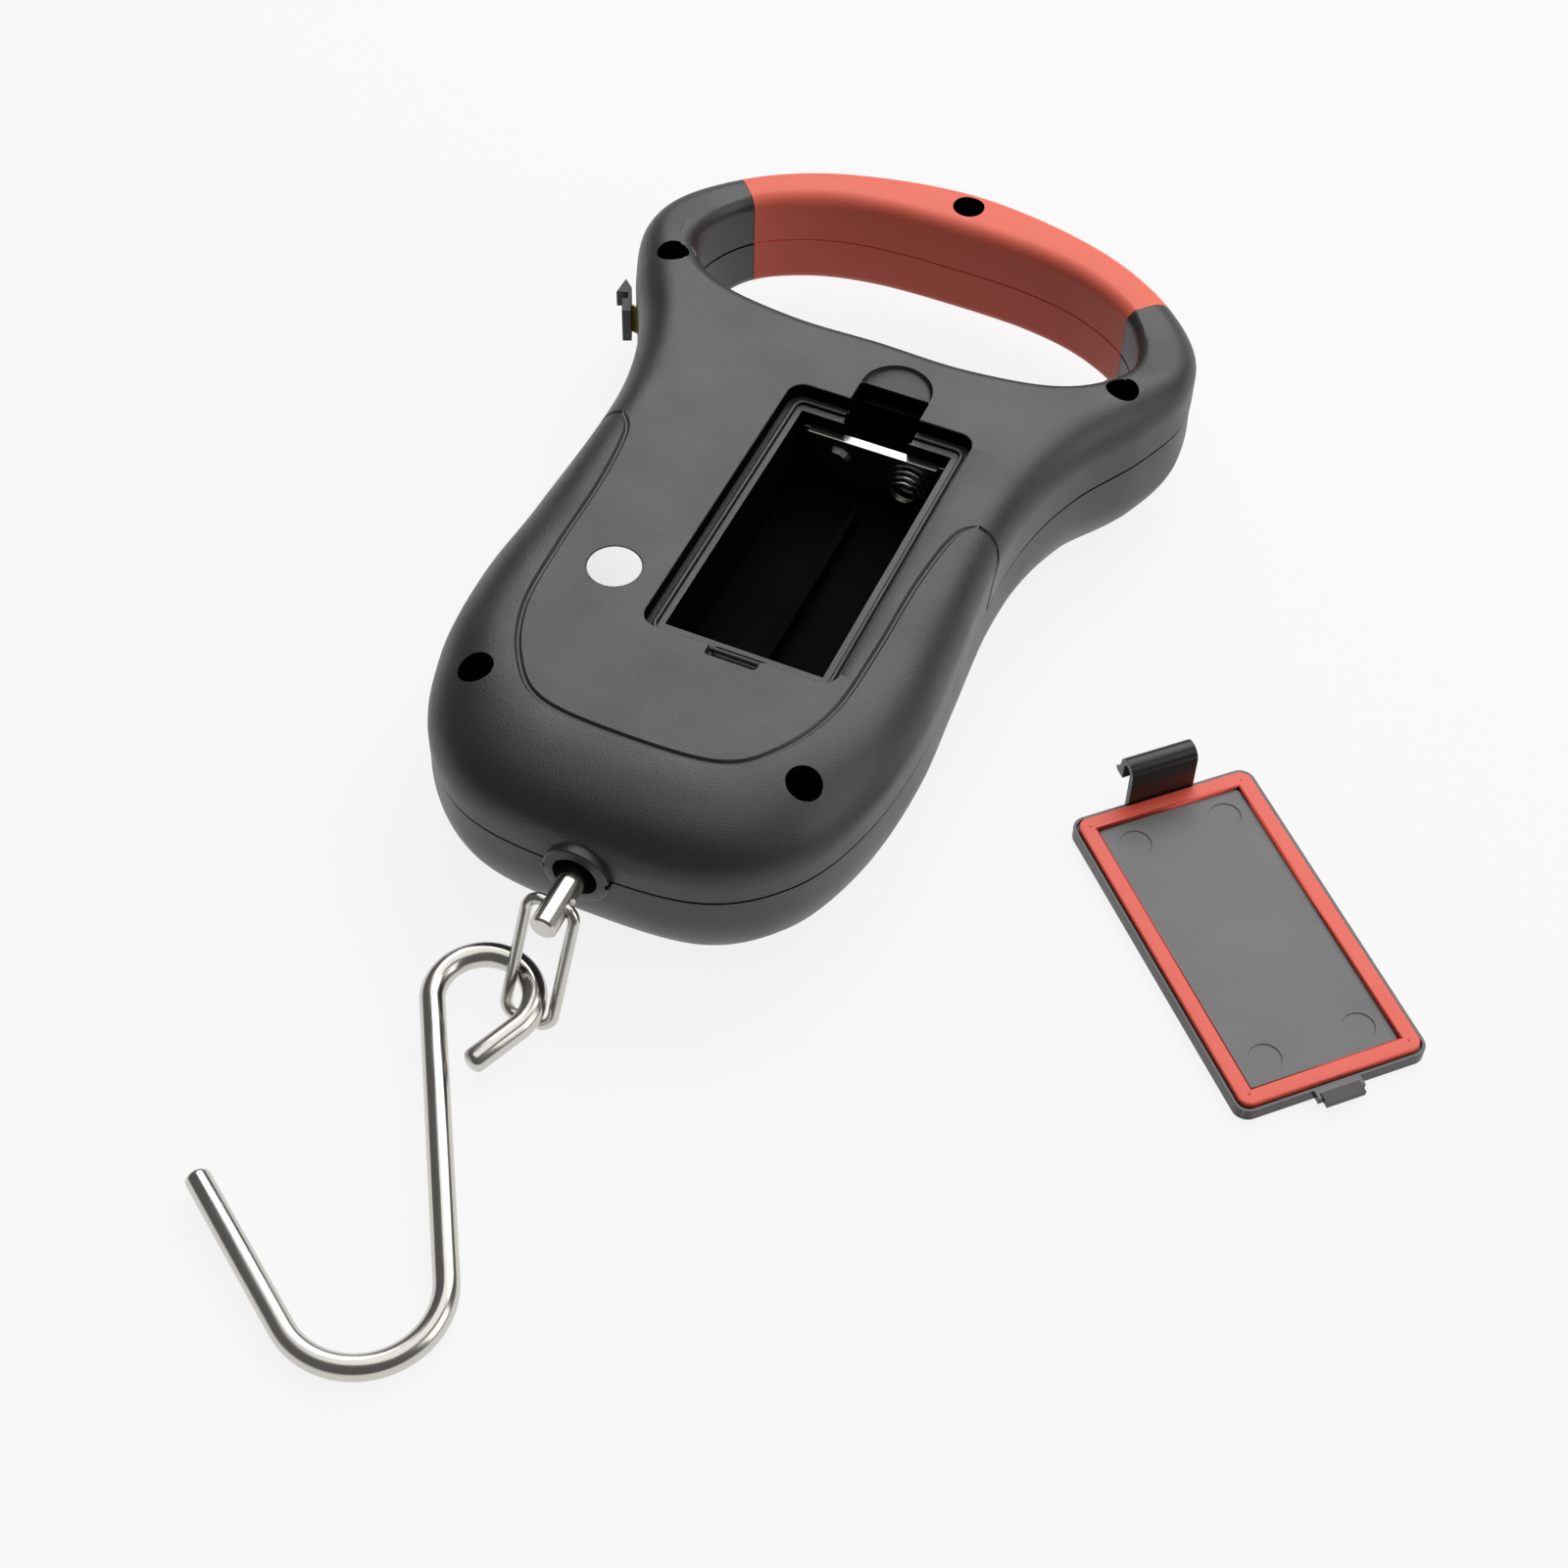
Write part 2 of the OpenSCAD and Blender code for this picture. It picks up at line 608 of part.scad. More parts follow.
// Battery contact plate at one end of the bay: end is 1 at the latch, -1 at the tongue
module contact_plate(x, w, end) {
    bay_place() translate([x - w / 2, end * bay_l / 2 - (end > 0 ? contact_t : 0), contact_z])
        cube([w, contact_t, contact_h]);
    bay_place() translate([x - w / 2 + 1, end * bay_l / 2 - (end > 0 ? 1.6 : 0), contact_z + contact_h])
        cube([w - 2, 1.6, contact_t]);
}

module contact_nipple(x, end) {
    bay_place() translate([x, end * (bay_l / 2 - contact_t + eps), contact_z + cell_d / 2 - 0.6])
        rotate([end * 90, 0, 0]) cylinder(r1 = 2.4, r2 = 1.8, h = 0.9);
}

// Conical coil spring that presses on a cell, as a swept wire
module contact_spring(x, end) {
    turns = 3.5;
    wire_r = 0.25;
    path = [for (t = [0:1 / 46:1.001]) let (r = lerp(3.6, 1.9, t), a = 360 * turns * t)
        [r * cos(a), r * sin(a), wire_r + 0.02 + (spring_l - 2 * wire_r) * t]];
    bay_place() translate([x, end * (bay_l / 2 - contact_t), contact_z + cell_d / 2 - 0.6])
        rotate([end * 90, 0, 0]) wire_sweep(path, wire_r, 8);
}

module bridge_contact() {
    color([0.8, 0.8, 0.78]) {
        contact_plate(0, bay_w - 1.4, 1);
        contact_nipple(-cell_x, 1);
    }
}

module bridge_spring() {
    color([0.8, 0.8, 0.78]) contact_spring(cell_x, 1);
}

module positive_contact() {
    color([0.8, 0.8, 0.78]) {
        contact_plate(cell_x, 9.4, -1);
        contact_nipple(cell_x, -1);
    }
}

module negative_contact() {
    color([0.8, 0.8, 0.78]) contact_plate(-cell_x, 9.4, -1);
}

module negative_spring() {
    color([0.8, 0.8, 0.78]) contact_spring(-cell_x, -1);
}

// Aluminium beam with a dog-bone hole: the rod pulls one end, two screws hold the other
module load_cell() {
    color([0.78, 0.79, 0.8]) translate([0, beam_y, parting_z]) difference() {
        translate([beam_x - beam_l / 2, -beam_d / 2, -beam_h / 2]) cube([beam_l, beam_d, beam_h]);
        for (s = [-1, 1]) translate([waist_x + s * waist_pitch, 0, -beam_h])
            cylinder(r = waist_hole_r, h = 2 * beam_h);
        translate([waist_x - waist_pitch, -1, -beam_h]) cube([2 * waist_pitch, 2, 2 * beam_h]);
        translate([0, beam_d, 0]) rotate([90, 0, 0]) cylinder(r = rod_d / 2 + 0.08, h = 2 * beam_d);
        for (x = clamp_x) translate([x, 0, -beam_h]) cylinder(r = screw_r + 0.2, h = 2 * beam_h);
    }
}

module strain_gauges() {
    gauge_t = 0.4;
    gauge_w = 3.2;
    color([0.85, 0.6, 0.2]) for (side = [-1, 1]) for (s = [-1, 1])
        translate([waist_x + s * waist_pitch - gauge_w / 2, beam_y + side * (beam_d / 2 + gauge_t / 2)
            - gauge_t / 2, parting_z - 2]) cube([gauge_w, gauge_t, 4]);
}

module cell_clamp_screws() {
    color([0.6, 0.6, 0.62]) for (x = clamp_x) translate([x, beam_y, parting_z + beam_h / 2]) {
        cylinder(r = head_r, h = head_t);
        translate([0, 0, -beam_h - 5]) cylinder(r = screw_r, h = beam_h + 5 + eps);
    }
}

// Rod from the load cell out through the collar, cross-drilled for the link
module load_rod() {
    rod_top = beam_y + beam_d / 2 + nut_t + 1;
    color([0.82, 0.81, 0.78]) difference() {
        translate([0, rod_top, parting_z]) rotate([90, 0, 0]) union() {
            cylinder(r = rod_d / 2, h = rod_top - rod_y - 0.3);
            translate([0, 0, rod_top - rod_y - 0.3 - eps])
                cylinder(r1 = rod_d / 2, r2 = rod_d / 2 - 0.3, h = 0.3);
            translate([0, 0, rod_top - beam_y + beam_d / 2 + 0.1]) cylinder(r = rod_d / 2 + 0.9, h = 1);
        }
        translate([-rod_d, bore_y, parting_z]) rotate([0, 90, 0]) cylinder(r = bore_r, h = 2 * rod_d);
        for (s = [-1, 1]) translate([0, bore_y, parting_z]) rotate([0, s * 90, 0])
            translate([0, 0, rod_d / 2 - 0.6]) cylinder(r1 = bore_r, r2 = bore_r + 0.45, h = 0.65);
    }
}

// Hexagon nut that hangs the rod on the load cell
module rod_nut() {
    color([0.7, 0.7, 0.7]) translate([0, beam_y + beam_d / 2 + nut_t + 0.1, parting_z]) rotate([90, 0, 0])
        difference() {
            cylinder(r = rod_d / 2 + 2, h = nut_t, $fn = 6);
            translate([0, 0, -1]) cylinder(r = rod_d / 2 + 0.03, h = nut_t + 2);
        }
}

// Wire bent in the XY plane: straight of length l along +X from the origin
module wire_straight(l, d) {
    rotate([0, 90, 0]) cylinder(r = d / 2, h = l, $fn = 32);
}

// Wire bend that starts at the origin along +X and turns right by an angle about radius r
module wire_bend(r, angle, d) {
    translate([0, -r, 0]) rotate([0, 0, 90 - angle]) rotate_extrude(angle = angle, $fn = 64)
        translate([r, 0]) circle(d / 2, $fn = 32);
}

module turned(r, angle) {
    translate([0, -r, 0]) rotate([0, 0, -angle]) translate([0, r, 0]) children();
}

// Closed wire loop that joins rod and hook; its first bar runs through the rod's bore
module chain_link() {
    r = link_corner_r;
    bar = 2 * (link_half_w - r);
    limb = link_l - 2 * r;
    color([0.84, 0.82, 0.78]) translate([link_shift, bore_y, parting_z]) rotate([link_swing, 0, 0])
        for (s = [0, 1]) translate([0, -link_l / 2, 0]) rotate([0, 0, 180 * s])
            translate([-bar / 2, link_l / 2, 0]) {
            wire_straight(bar, link_d);
            translate([bar, 0, 0]) wire_bend(r, 90, link_d);
            translate([bar, 0, 0]) turned(r, 90) wire_straight(limb, link_d);
            translate([bar, 0, 0]) turned(r, 90) translate([limb, 0, 0]) wire_bend(r, 90, link_d);
        }
}

// Open hook of one bent wire, lying with its mouth on the table and its eye propped on the link
module s_hook() {
    tilt = asin((hook_lift - hook_d / 2) / (shank_l + mouth_r));
    color([0.84, 0.82, 0.78]) translate([eye_centre[0], eye_centre[1], hook_lift])
        rotate([0, 0, shank_heading]) rotate([0, tilt, 0]) translate([0, -eye_r, 0]) hook_wire();
}

// The hook's wire: shank along +X from the origin, mouth and tip ahead of it, eye and tail behind
module hook_wire() {
    tail_turn = 180 - eye_turn;
    eye_end = [-eye_r * sin(eye_turn), eye_r - eye_r * cos(eye_turn)];
    tail_end = eye_end + tail_l * [cos(tail_turn), sin(tail_turn)];
    mouth_end = [shank_l + mouth_r * sin(mouth_turn), -mouth_r + mouth_r * cos(mouth_turn)];
    tip_end = mouth_end + tip_l * [cos(mouth_turn), -sin(mouth_turn)];
    path = concat([tail_end],
        [for (a = [eye_turn:-eye_turn / 24:0.01]) [-eye_r * sin(a), eye_r - eye_r * cos(a)]],
        [for (a = [0:mouth_turn / 16:mouth_turn]) [shank_l + mouth_r * sin(a), mouth_r * cos(a) - mouth_r]],
        [tip_end]);
    wire_sweep([for (p = path) [p[0], p[1], 0]], hook_d / 2, 16);
}

// Round wire swept along a path that never runs parallel to Z
module wire_sweep(path, r, sides) {
    n = len(path);
    points = [for (i = [0:n - 1]) let (t = path[min(n - 1, i + 1)] - path[max(0, i - 1)],
        u = [-t[1], t[0], 0] / norm([t[0], t[1]]), v = cross(t, u) / norm(t))
        for (k = [0:sides - 1]) path[i] + r * (u * cos(360 * k / sides) + v * sin(360 * k / sides))];
    skin = [for (i = [0:n - 2]) for (k = [0:sides - 1]) let (m = (k + 1) % sides)
        each [[i * sides + k, i * sides + m, (i + 1) * sides + m],
            [i * sides + k, (i + 1) * sides + m, (i + 1) * sides + k]]];
    first = [for (k = [1:sides - 2]) [0, k + 1, k]];
    last = [for (k = [1:sides - 2]) [0, k, k + 1] + (n - 1) * sides * [1, 1, 1]];
    polyhedron(points, concat(skin, first, last), convexity = 8);
}

module circuit_board() {
    color([0.1, 0.35, 0.2]) translate([0, 0, board_z]) difference() {
        translate([-board_w / 2, board_y - board_l / 2, 0]) cube([board_w, board_l, board_t]);
        at_posts() translate([0, 0, -1]) cylinder(r = 0.8, h = 4);
    }
}

module processor_blob() {
    color([0.05, 0.05, 0.05]) translate([-14, -8, board_z + board_t]) rotate_extrude()
        polygon([[0, 0], [4, 0], [3.4, 0.8], [2, 1.3], [0, 1.4]]);
}

module tact_switches() {
    color([0.75, 0.75, 0.72]) for (i = [-1:1]) translate([i * button_pitch, button_y, 0]) {
        translate([-3, -3, board_z - 2.2]) cube([6, 6, 2.2]);
        translate([0, 0, board_z - 3]) cylinder(r = 1.7, h = 1);
    }
}

module lcd_glass() {
    color([0.55, 0.62, 0.52]) translate([-window_w / 2 - glass_margin, window_y - window_h / 2
        - glass_margin, glass_z]) cube([window_w + 2 * glass_margin, window_h + 2 * glass_margin, glass_t]);
}

module zebra_strips() {
    strip_h = board_z - glass_z - glass_t;
    color([0.9, 0.7, 0.75]) for (s = [-1, 1])
        translate([-window_w / 2, window_y + s * (window_h / 2 - 0.5) - 1, glass_z + glass_t])
            cube([window_w, 2, strip_h]);
}

module display_window() {
    color([0.1, 0.12, 0.13, 0.6]) translate([0, window_y, lens_back_z - lens_t])
        rounded_plate(window_w + 4, window_h + 4, 1.9, lens_t);
}

// Round push button with a flange that keeps it in the front shell
module push_button(i) {
    color([0.75, 0.2, 0.15]) translate([i * button_pitch, button_y, 0]) {
        translate([0, 0, button_face_z]) cylinder(r = button_d / 2, h = wall - button_face_z + 0.05);
        translate([0, 0, wall + 0.04]) cylinder(r = button_d / 2 + 1, h = 0.7);
        translate([0, 0, wall + 0.7]) cylinder(r = 1.5, h = board_z - 3 - button_travel - 0.1 - wall - 0.7);
    }
}

module button_zero() {
    push_button(-1);
}

module button_power() {
    push_button(0);
}

module button_unit() {
    push_button(1);
}

module buzzer() {
    color([0.08, 0.08, 0.08]) translate([20, -8, board_z - 2.6]) cylinder(r = 4.5, h = 2.6);
}

module at_spool(z) {
    translate([spool_at[0], spool_at[1], z]) children();
}

// Spool that turns on a post of the back shell
module tape_spool() {
    low = tape_z - tape_w / 2 - flange_t;
    color([0.85, 0.85, 0.83]) at_spool(low) difference() {
        union() {
            cylinder(r = flange_r, h = flange_t);
            cylinder(r = spool_hub_r, h = tape_w + 2 * flange_t);
            translate([0, 0, tape_w + flange_t]) cylinder(r = flange_r, h = flange_t);
        }
        translate([0, 0, -1]) cylinder(r = spool_bore_r, h = tape_w + 4);
        translate([0, 0, -1]) cylinder(r = spool_hub_r - 0.9, h = tape_w * 0.6 + 1);
    }
    color([0.85, 0.85, 0.83]) at_spool(low) difference() {
        cylinder(r = spool_bore_r + 0.5, h = tape_w + 2 * flange_t);
        translate([0, 0, -1]) cylinder(r = spool_bore_r, h = tape_w + 4);
    }
}

module tape_coil() {
    color([0.95, 0.85, 0.3]) at_spool(tape_z - tape_w / 2 + 0.1) difference() {
        cylinder(r = coil_r, h = tape_w - 0.2);
        translate([0, 0, -1]) cylinder(r = spool_hub_r + 0.05, h = tape_w + 2);
    }
}

// Wound return spring inside the spool's hub
module spool_spring() {
    color([0.5, 0.5, 0.52]) at_spool(tape_z - tape_w / 2 - flange_t + 0.2) difference() {
        cylinder(r = spool_hub_r - 1, h = tape_w * 0.6 - 0.4);
        translate([0, 0, -1]) cylinder(r = spool_bore_r + 0.6, h = tape_w);
    }
}

module spool_cover() {
    color([0.3, 0.3, 0.31]) at_spool(tape_z - tape_w / 2 - flange_t - 1.2) difference() {
        cylinder(r = spool_hub_r, h = 1);
        translate([0, 0, -1]) cylinder(r = 1, h = 3);
    }
}

module spool_screw() {
    color([0.6, 0.6, 0.62]) at_spool(tape_z - tape_w / 2 - flange_t - 2.2) {
        cylinder(r = 1.8, h = 1);
        cylinder(r = 0.8, h = 5.5);
    }
}

// Straight run of tape from the coil to the tab outside
module tape_blade() {
    color([0.95, 0.85, 0.3]) translate([tape_exit[0], tape_exit[1], tape_z - tape_w / 2 + 0.2])
        rotate([0, 0, -tape_angle]) translate([-tape_reach, -tape_t / 2, 0])
            cube([tape_run + tape_reach, tape_t, tape_w - 0.4]);
}

// Pull tab at the end of the tape, with a tooth for the fingernail
module tape_tab() {
    tab_t = 1.5;
    tab_l = 3.2;
    tab_h = 6.4;
    tab_base = 0.7;
    back = -tab_base - tab_t;
    color([0.1, 0.1, 0.1]) translate([tape_exit[0], tape_exit[1], tape_z]) rotate([0, 0, tab_lean])
        difference() {
            union() {
                translate([back, -tab_l / 2, -tab_h / 2]) cube([tab_t, tab_l, tab_h]);
                translate([back + 0.9, 0, 0.2]) cube([tab_t - 0.9, 4, tab_h / 2 - 0.2]);
                translate([0, 0, 0.2]) linear_extrude(tab_h / 2 - 0.2)
                    polygon([[-tab_base, 3], [-tab_base, 4.2], [back + 0.5, 6.4], [back - 1, 3.1]]);
            }
            rotate([0, 0, -tab_lean - tape_angle])
                translate([-tape_reach - 0.1, -tape_t / 2 - 0.02, -tape_w / 2 + 0.18])
                    cube([12, tape_t + 0.04, tape_w - 0.36]);
        }
}

back_shell();
front_shell();
grip_back();
grip_front();
case_screws();
qc_sticker();
battery_door();
door_gasket();
bridge_contact();
bridge_spring();
positive_contact();
negative_contact();
negative_spring();
load_cell();
strain_gauges();
cell_clamp_screws();
load_rod();
rod_nut();
chain_link();
s_hook();
circuit_board();
processor_blob();
tact_switches();
lcd_glass();
zebra_strips();
display_window();
button_zero();
button_power();
button_unit();
buzzer();
tape_spool();
tape_coil();
spool_spring();
spool_cover();
spool_screw();
tape_blade();
tape_tab();
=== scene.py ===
"""Looks of a digital luggage scale that lies face down with its battery door off. Blender 4.5.

Lengths are in millimetres, as in the CAD, until MM turns them into metres.
"""
import json
import math

import bmesh
import bpy
from mathutils import Matrix, Vector


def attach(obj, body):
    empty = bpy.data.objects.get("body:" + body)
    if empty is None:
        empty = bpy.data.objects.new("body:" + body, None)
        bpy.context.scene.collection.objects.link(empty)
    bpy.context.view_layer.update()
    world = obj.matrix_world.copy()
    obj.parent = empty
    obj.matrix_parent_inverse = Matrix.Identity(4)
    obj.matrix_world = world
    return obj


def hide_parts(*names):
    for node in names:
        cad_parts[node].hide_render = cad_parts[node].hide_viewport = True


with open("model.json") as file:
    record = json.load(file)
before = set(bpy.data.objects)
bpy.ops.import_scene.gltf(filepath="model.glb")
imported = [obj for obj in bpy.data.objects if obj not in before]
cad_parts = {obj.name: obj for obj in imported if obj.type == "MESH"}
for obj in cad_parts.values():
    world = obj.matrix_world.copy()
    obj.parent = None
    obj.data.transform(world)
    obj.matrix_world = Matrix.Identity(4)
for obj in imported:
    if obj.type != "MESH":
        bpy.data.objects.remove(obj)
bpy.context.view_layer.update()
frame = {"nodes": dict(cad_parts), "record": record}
nodes = frame["nodes"]
MM = 0.001

# ---------------------------------------------------------------- casing sizes
LENGTH, WIDTH, THICK, WALL = 150.0, 93.5, 28.0, 2.2
PARTING = 16.4  # height of the seam between the two halves
HALF_L, HALF_W = LENGTH / 2, WIDTH / 2
# Right half of the outline, from the handle to the hook, in shares of HALF_W and HALF_L.
OUTLINE = [(0, 1), (0.427, 0.957), (0.736, 0.866), (0.945, 0.733), (1, 0.593), (0.93, 0.447),
           (0.796, 0.287), (0.724, 0.127), (0.708, -0.053), (0.732, -0.267), (0.753, -0.48),
           (0.718, -0.693), (0.604, -0.867), (0.374, -0.977), (0, -1)]
# Right half of the hand opening, down from the handle's end, for a casing OPENING_FOR wide.
OPENING = [(0, -11.2), (14, -11.8), (25, -14.6), (34, -20.5), (38, -29.5), (35, -36.6),
           (27.5, -41.6), (14, -43.9), (0, -43.7)]
OPENING_FOR = 95
OPENING_EDGE = 2.5
# Right half of the groove round the back panel, with x in shares of PANEL_W.
PANEL = [(0.58, -1), (0.53, -5), (0.505, -16), (0.5, -30), (0.48, -43), (0.4, -52.5),
         (0.27, -58.2), (0, -59.4)]
PANEL_W = 50
GROOVE = ((-0.62, 0.12), (-0.15, -0.42), (0.15, -0.42), (0.62, 0.12), (0.62, 1.0), (-0.62, 1.0))
SHOULDER_X, SHOULDER_GROOVE_R = 33.15, 0.36
# Where the groove's ends run down the shoulder: degrees round it, and y.
SHOULDER_RUN = ((68.5, -1.0), (50, -0.9), (30, -1.3), (10, -2.4), (0, -3.4))
CHAMFER_IN, CHAMFER_UP, FRONT_SET_BACK = 0.55, 0.28, 0.12  # at the parting
SCREWS = [(-38.15, 36.4), (38.15, 36.4), (-25.1, -56), (25.1, -56), (0, 69.3)]
WELL_R, WELL_FLOOR, BACK_BOSS_R, FRONT_BOSS_R = 2.6, 2.4, 3.7, 3.2
COLLAR = ((5.0, -70.0), (5.0, -75.9), (4.85, -76.1), (4.6, -76.2))  # radius and y
ROD_PASSAGE_R = 3.4
GRIP_CORNERS = ((22.0, HALF_L - 30.5), (52.5, HALF_L + 2))
GRIP_SLACK = 0.06
STICKER_AT, STICKER_R, STICKER_SEAT = (-15.7, -31), 4.0, 0.2
WINDOW_Y, WINDOW_STEPS = 8, ((48.2, 24.2, 2.0, 1.9), (44, 20, 1, 6))  # width, length, corner, top
BUTTON_X, BUTTON_Y, BUTTON_HOLE_R = 16, -26, 4.65
TAPE_SLOT_AT, TAPE_SLOT_TURN = (-42.73, 31.63, 15), -12

# ---------------------------------------------------------------- battery bay and door sizes
BAY = (7.0, -11.5)
RECESS_W, RECESS_L, RECESS_D, RECESS_R = 30.0, 55.0, 2.6, 2.5
LEDGE_Z = THICK - RECESS_D
BAY_W, BAY_L, BAY_D, TUB_WALL = 24.6, 49.0, 12.5, 1.4
BAY_FLOOR = LEDGE_Z - BAY_D
BAY_X0, BAY_X1 = BAY[0] - BAY_W / 2, BAY[0] + BAY_W / 2
BAY_Y0, BAY_Y1 = BAY[1] - BAY_L / 2, BAY[1] + BAY_L / 2
LATCH_W, TONGUE_W, SIDE_GAP = 10.6, 7.2, 0.3
NOTCH_L, NOTCH_DROP = 4.2, 8.6
NOTCH_Y = BAY[1] + RECESS_L / 2
# Half-moon for a fingertip beyond the notch: radius and height from the back, from its floor up.
MOON = ((4.9, -1.55), (5.25, -1.45), (5.5, -1.1), (5.6, -0.6), (5.7, 1.5))
SEAL_Z, SEAL_R, SEAL_END = LEDGE_Z + 0.12, 0.42, 5.7
COIL_R, COIL_TURNS, COIL_LENGTH, COIL_X = (3.6, 1.9), 3.5, 2.7, 6.0
DOOR_AT, DOOR_TURN = (85.0, -35.8), 45.5
DOOR_W, DOOR_L, DOOR_RIM = 29.4, 54.4, 0.55
LATCH_Z = 2.3  # what is higher on the loose door is its latch
GASKET_W, GASKET_Z = 2.5, 1.32 + 0.65

# ---------------------------------------------------------------- link and hook sizes
BORE_Y, LINK_L, LINK_W, LINK_R, LINK_WIRE = -81.5, 17.9, 3.6, 1.9, 0.85
LINK_X, LINK_END_Z, LINK_PIVOTS = -0.7, 4, LINK_L - 3.5
EYE_R, MOUTH_R, SHANK, EYE_TURN, MOUTH_TURN, TAIL, TIP = 7.0, 11.0, 42.6, 233.4, 155.0, 7.4, 25.0
HOOK_WIRE, HOOK_TURN, EYE_TOUCH, EYE_OFFSET = 1.8, -59.4, 24, 0.4


# ---------------------------------------------------------------- curves
def ease(v, a, b):
    """Smooth step from 0 at a to 1 at b."""
    t = min(1.0, max(0.0, (v - a) / (b - a)))
    return t * t * (3 - 2 * t)


def polar(r, degrees):
    a = math.radians(degrees)
    return r * math.cos(a), r * math.sin(a)


def spline(a, b, c, d, t):
    """Point at t on the smooth curve from b to c."""
    return tuple(0.5 * (2 * b[k] + (c[k] - a[k]) * t + (2 * a[k] - 5 * b[k] + 4 * c[k] - d[k]) * t * t
                        + (3 * b[k] - a[k] - 3 * c[k] + d[k]) * t ** 3) for k in (0, 1))


def closed_spline(pts, steps):
    n = len(pts)
    return [spline(pts[i - 1], pts[i], pts[(i + 1) % n], pts[(i + 2) % n], j / steps)
            for i in range(n) for j in range(steps)]


def open_spline(pts, steps):
    n = len(pts)
    out = [spline(pts[max(0, i - 1)], pts[i], pts[i + 1], pts[min(n - 1, i + 2)], j / steps)
           for i in range(n - 1) for j in range(steps)]
    return out + [pts[-1]]


def mirrored(half):
    return half + [(-x, y) for x, y in half[-2:0:-1]]


def normal_between(a, b):
    """Unit normal, to the left, of the line from a to b."""
    tx, ty = b[0] - a[0], b[1] - a[1]
    s = math.hypot(tx, ty)
    return -ty / s, tx / s


def outward(loop, i):
    return normal_between(loop[i - 1], loop[(i + 1) % len(loop)])


def grown(loop, d):
    return [(p[0] + outward(loop, i)[0] * d, p[1] + outward(loop, i)[1] * d) for i, p in enumerate(loop)]


def rounded_rect(w, l, r, steps=8):
    pts = []
    for cx, cy, a0 in ((1, 1, 0), (-1, 1, 90), (-1, -1, 180), (1, -1, 270)):
        for j in range(steps + 1):
            u, v = polar(r, a0 + 90 * j / steps)
            pts.append((cx * (w / 2 - r) + u, cy * (l / 2 - r) + v))
    return pts


def bay_rect(w, l, r, dx=0.0, dy=0.0):
    """Rounded rectangle about the middle of the battery bay, or off it by dx, dy."""
    return [(x + BAY[0] + dx, y + BAY[1] + dy) for x, y in rounded_rect(w, l, r)]


def at_height(loop, z):
    return [(x, y, z) for x, y in loop]


CASING = closed_spline(mirrored([(x * HALF_W, y * HALF_L) for x, y in OUTLINE]), 16)
GAP = closed_spline(mirrored([(x * WIDTH / OPENING_FOR, HALF_L + y) for x, y in OPENING]), 16)


# The back half has side 1 and the front half side -1.
def height(side, y):
    """Height of one half from the parting to its flat, which dips towards the handle."""
    if side > 0:
        return THICK - PARTING - 2.6 * ease(y, HALF_L - 51, HALF_L - 13)
    return PARTING - 7.4 * ease(y, HALF_L - 49, HALF_L - 17)


def shoulder(side, y):
    """How far the rounded shoulder of one half reaches in, and down."""
    if side > 0:
        root = ease(y, HALF_L - 45, HALF_L - 25)
        waist = ease(-y, 2, 28)
        foot = ease(-y, HALF_L - 30, HALF_L - 5)
        return 6.5 - 2.3 * root + 3 * waist + 5 * foot, 6 - 1.8 * root + 2 * waist + 0.8 * foot
    root = ease(y, HALF_L - 55, HALF_L - 30)
    return 9 - 4.5 * root, 12 - 7.5 * root


def lift(side, h):
    return PARTING + side * h


# ---------------------------------------------------------------- meshes
def scene_object(name, data):
    obj = bpy.data.objects.new(name, data)
    bpy.context.scene.collection.objects.link(obj)
    return obj


def applied(obj):
    """The object's mesh with its modifiers, which are taken off it."""
    graph = bpy.context.evaluated_depsgraph_get()
    mesh = bpy.data.meshes.new_from_object(obj.evaluated_get(graph))
    obj.modifiers.clear()
    return mesh


def new_object(name, verts, faces, smooth=True):
    mesh = bpy.data.meshes.new(name)
    mesh.from_pydata([tuple(c * MM for c in v) for v in verts], [], faces)
    bm = bmesh.new()
    bm.from_mesh(mesh)
    bmesh.ops.remove_doubles(bm, verts=bm.verts, dist=1e-8)
    bmesh.ops.recalc_face_normals(bm, faces=bm.faces)
    bm.to_mesh(mesh)
    bm.free()
    if smooth:
        mesh.shade_smooth()
    return scene_object(name, mesh)


def rings_object(name, rings, roof="ngon", closed=False):
    """A skin over rings of equally many points. A strip roof joins a ring's two mirrored halves."""
    n, count = len(rings[0]), len(rings)
    faces = [(k * n + i, k * n + (i + 1) % n, (k + 1) % count * n + (i + 1) % n, (k + 1) % count * n + i)
             for k in range(count if closed else count - 1) for i in range(n)]
    if not closed:
        faces.append(tuple(range(n)))
        first = (count - 1) * n
        if roof == "ngon":
            faces.append(tuple(range(first, first + n)))
        else:
            for i in range(1, n // 2 - 1):
                faces.append((first + i, first + i + 1, first + n - i - 1, first + n - i))
            faces.append((first, first + 1, first + n - 1))
            faces.append((first + n // 2 - 1, first + n // 2, first + n // 2 + 1))
    return new_object(name, [v for ring in rings for v in ring], faces)


def prism(loop, z0, z1):
    return rings_object("tool", [at_height(loop, z0), at_height(loop, z1)])


def block(x0, y0, z0, x1, y1, z1):
    return prism([(x0, y0), (x1, y0), (x1, y1), (x0, y1)], z0, z1)


